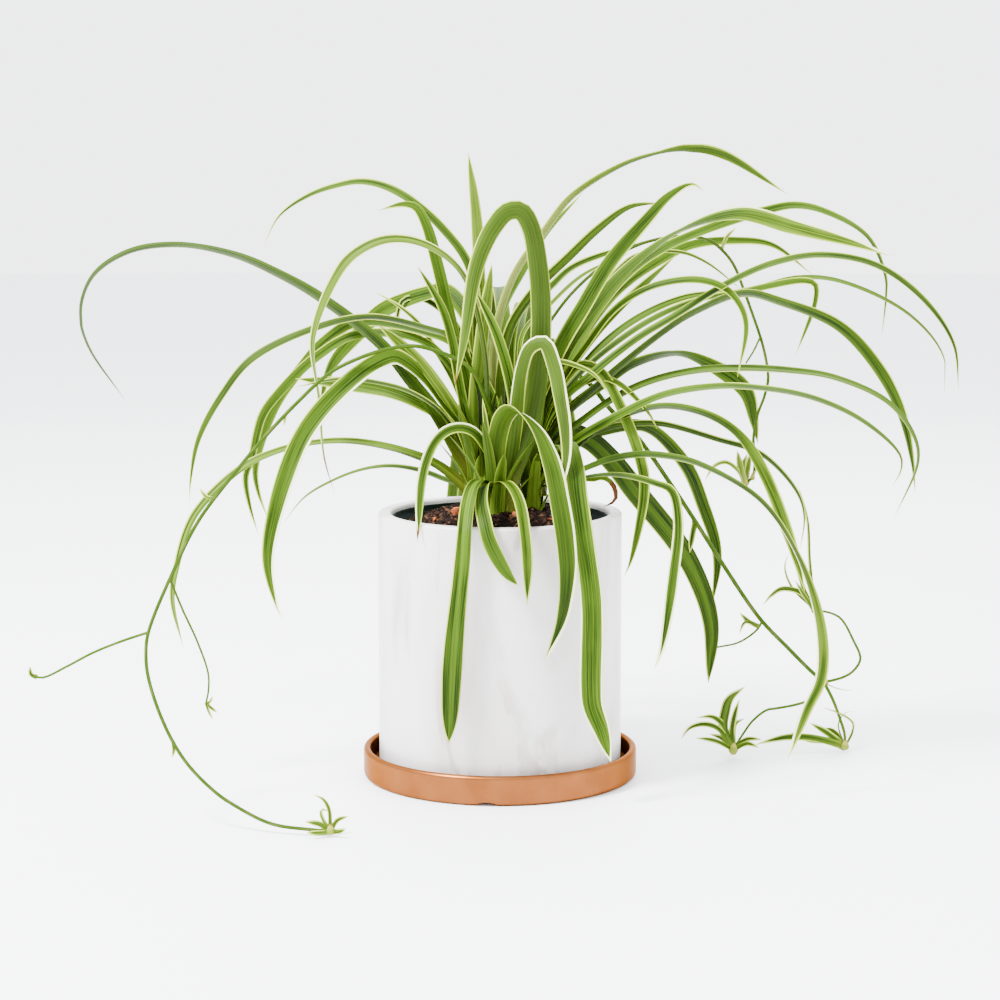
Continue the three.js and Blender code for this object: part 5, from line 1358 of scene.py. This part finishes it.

# %% [markdown]
# ## Floor and light
#
# The plant stands on a pale floor in soft daylight. The floor is matt white laminate, which shows
# soft shadows and hardly a reflection. One light from the upper left in front is the main one, a
# weak one on the right fills the shadows, one from behind shines on the arches, and the pale sky
# does the rest.

# %% Floor
FLOOR_RADIUS, FLOOR_DROP = 8.0, 0.2 * MM
FLOOR_SIDES = 96
MOTTLE = 333  # millimetres
laminate, tree = new_finish("Matt white laminate")
place = put(tree, PLACE, out="Object")
mottle = put(tree, NOISE, {"Vector": place, "Scale": 1 / (MOTTLE * MM), "Detail": 2.0})
white = put(tree, MIX, {0: mottle, 6: paint("#F1F3F6"), 7: paint("#F5F6F8")}, **COLOUR)
put(tree, SURFACE, [put(tree, SKIN, {"Base Color": white, "Roughness": 0.6})])
floor_mesh = bpy.data.meshes.new("floor")
work = bmesh.new()
bmesh.ops.create_circle(work, cap_ends=True, segments=FLOOR_SIDES, radius=FLOOR_RADIUS)
bmesh.ops.translate(work, verts=work.verts, vec=(0, 0, -FLOOR_DROP))
work.to_mesh(floor_mesh)
work.free()
floor = keep("floor", floor_mesh, laminate)
print("floor of", 2 * FLOOR_RADIUS, "m across")

# %% Light
SKY = 4.6
LIGHTS = [  # name, place and aim in metres, width in metres, power in watts
    ("Key", (-1.1, -0.75, 1.9), (0, 0, 0.2), 0.5, 210),
    ("Fill", (1.6, -0.9, 1.1), (0, 0, 0.2), 1.4, 10),
    ("Back", (0.3, 1.5, 1.8), (0, 0, 0.2), 1.4, 60),
]
sky = bpy.data.worlds.new("Soft sky")
sky.use_nodes = True
sky.node_tree.nodes["Background"].inputs["Color"].default_value = paint("#F4F6F9")
sky.node_tree.nodes["Background"].inputs["Strength"].default_value = SKY
bpy.context.scene.world = sky
for name, place, aim, size, power in LIGHTS:
    lamp_data = bpy.data.lights.new(name, "AREA")
    lamp_data.shape, lamp_data.size, lamp_data.energy = "DISK", size, power
    lamp = bpy.data.objects.new(name, lamp_data)
    lamp.location = place
    lamp.rotation_euler = (Vector(aim) - Vector(place)).to_track_quat("-Z", "Y").to_euler()
    bpy.context.scene.collection.objects.link(lamp)
print(len(LIGHTS), "lights")

# %% [markdown]
# ## Riding the frame
#
# Nothing moves, so every piece rides on the one body of the model. Each fine piece replaces the
# solid that it stands for. No point may leave the box of the CAD model, so the few that would are
# set back onto it.

# %% Riding and replacing
low, high = (np.array(corner) for corner in cad_box)
replaced = [
    (saucer, "saucer", "saucer_copper"), (planter, "planter", "planter_ceramic"),
    (grow_pot, "grow_pot", "grow_pot_plastic"), (soil, "soil", "potting_soil"),
    *[(piece, name, "leaf_striped") for name, piece in plant.items()],
    *[(stems, "runner_" + name, "runner_green") for name, (stems, _) in runners.items()],
]
extra = [
    (crumbs, "potting_soil"), (chips, "potting_soil"), (crowns, "leaf_striped"),
    *[(leaves, "runner_green") for _, leaves in runners.values()],
]
for piece, slot in [(piece, slot) for piece, _, slot in replaced] + extra:
    set_back = 0
    for vertex in piece.data.vertices:
        inside = np.clip(vertex.co, low, high)
        set_back += np.abs(inside - np.array(vertex.co)).max() > SAME_PLACE
        vertex.co = inside
    if set_back:
        print(piece.name, "has", set_back, "points set back")
    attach(piece, "root")
for piece, node, _ in replaced:
    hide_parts(node)
print(len(replaced) + len(extra), "pieces ride on the root, and", len(replaced), "replace solids")
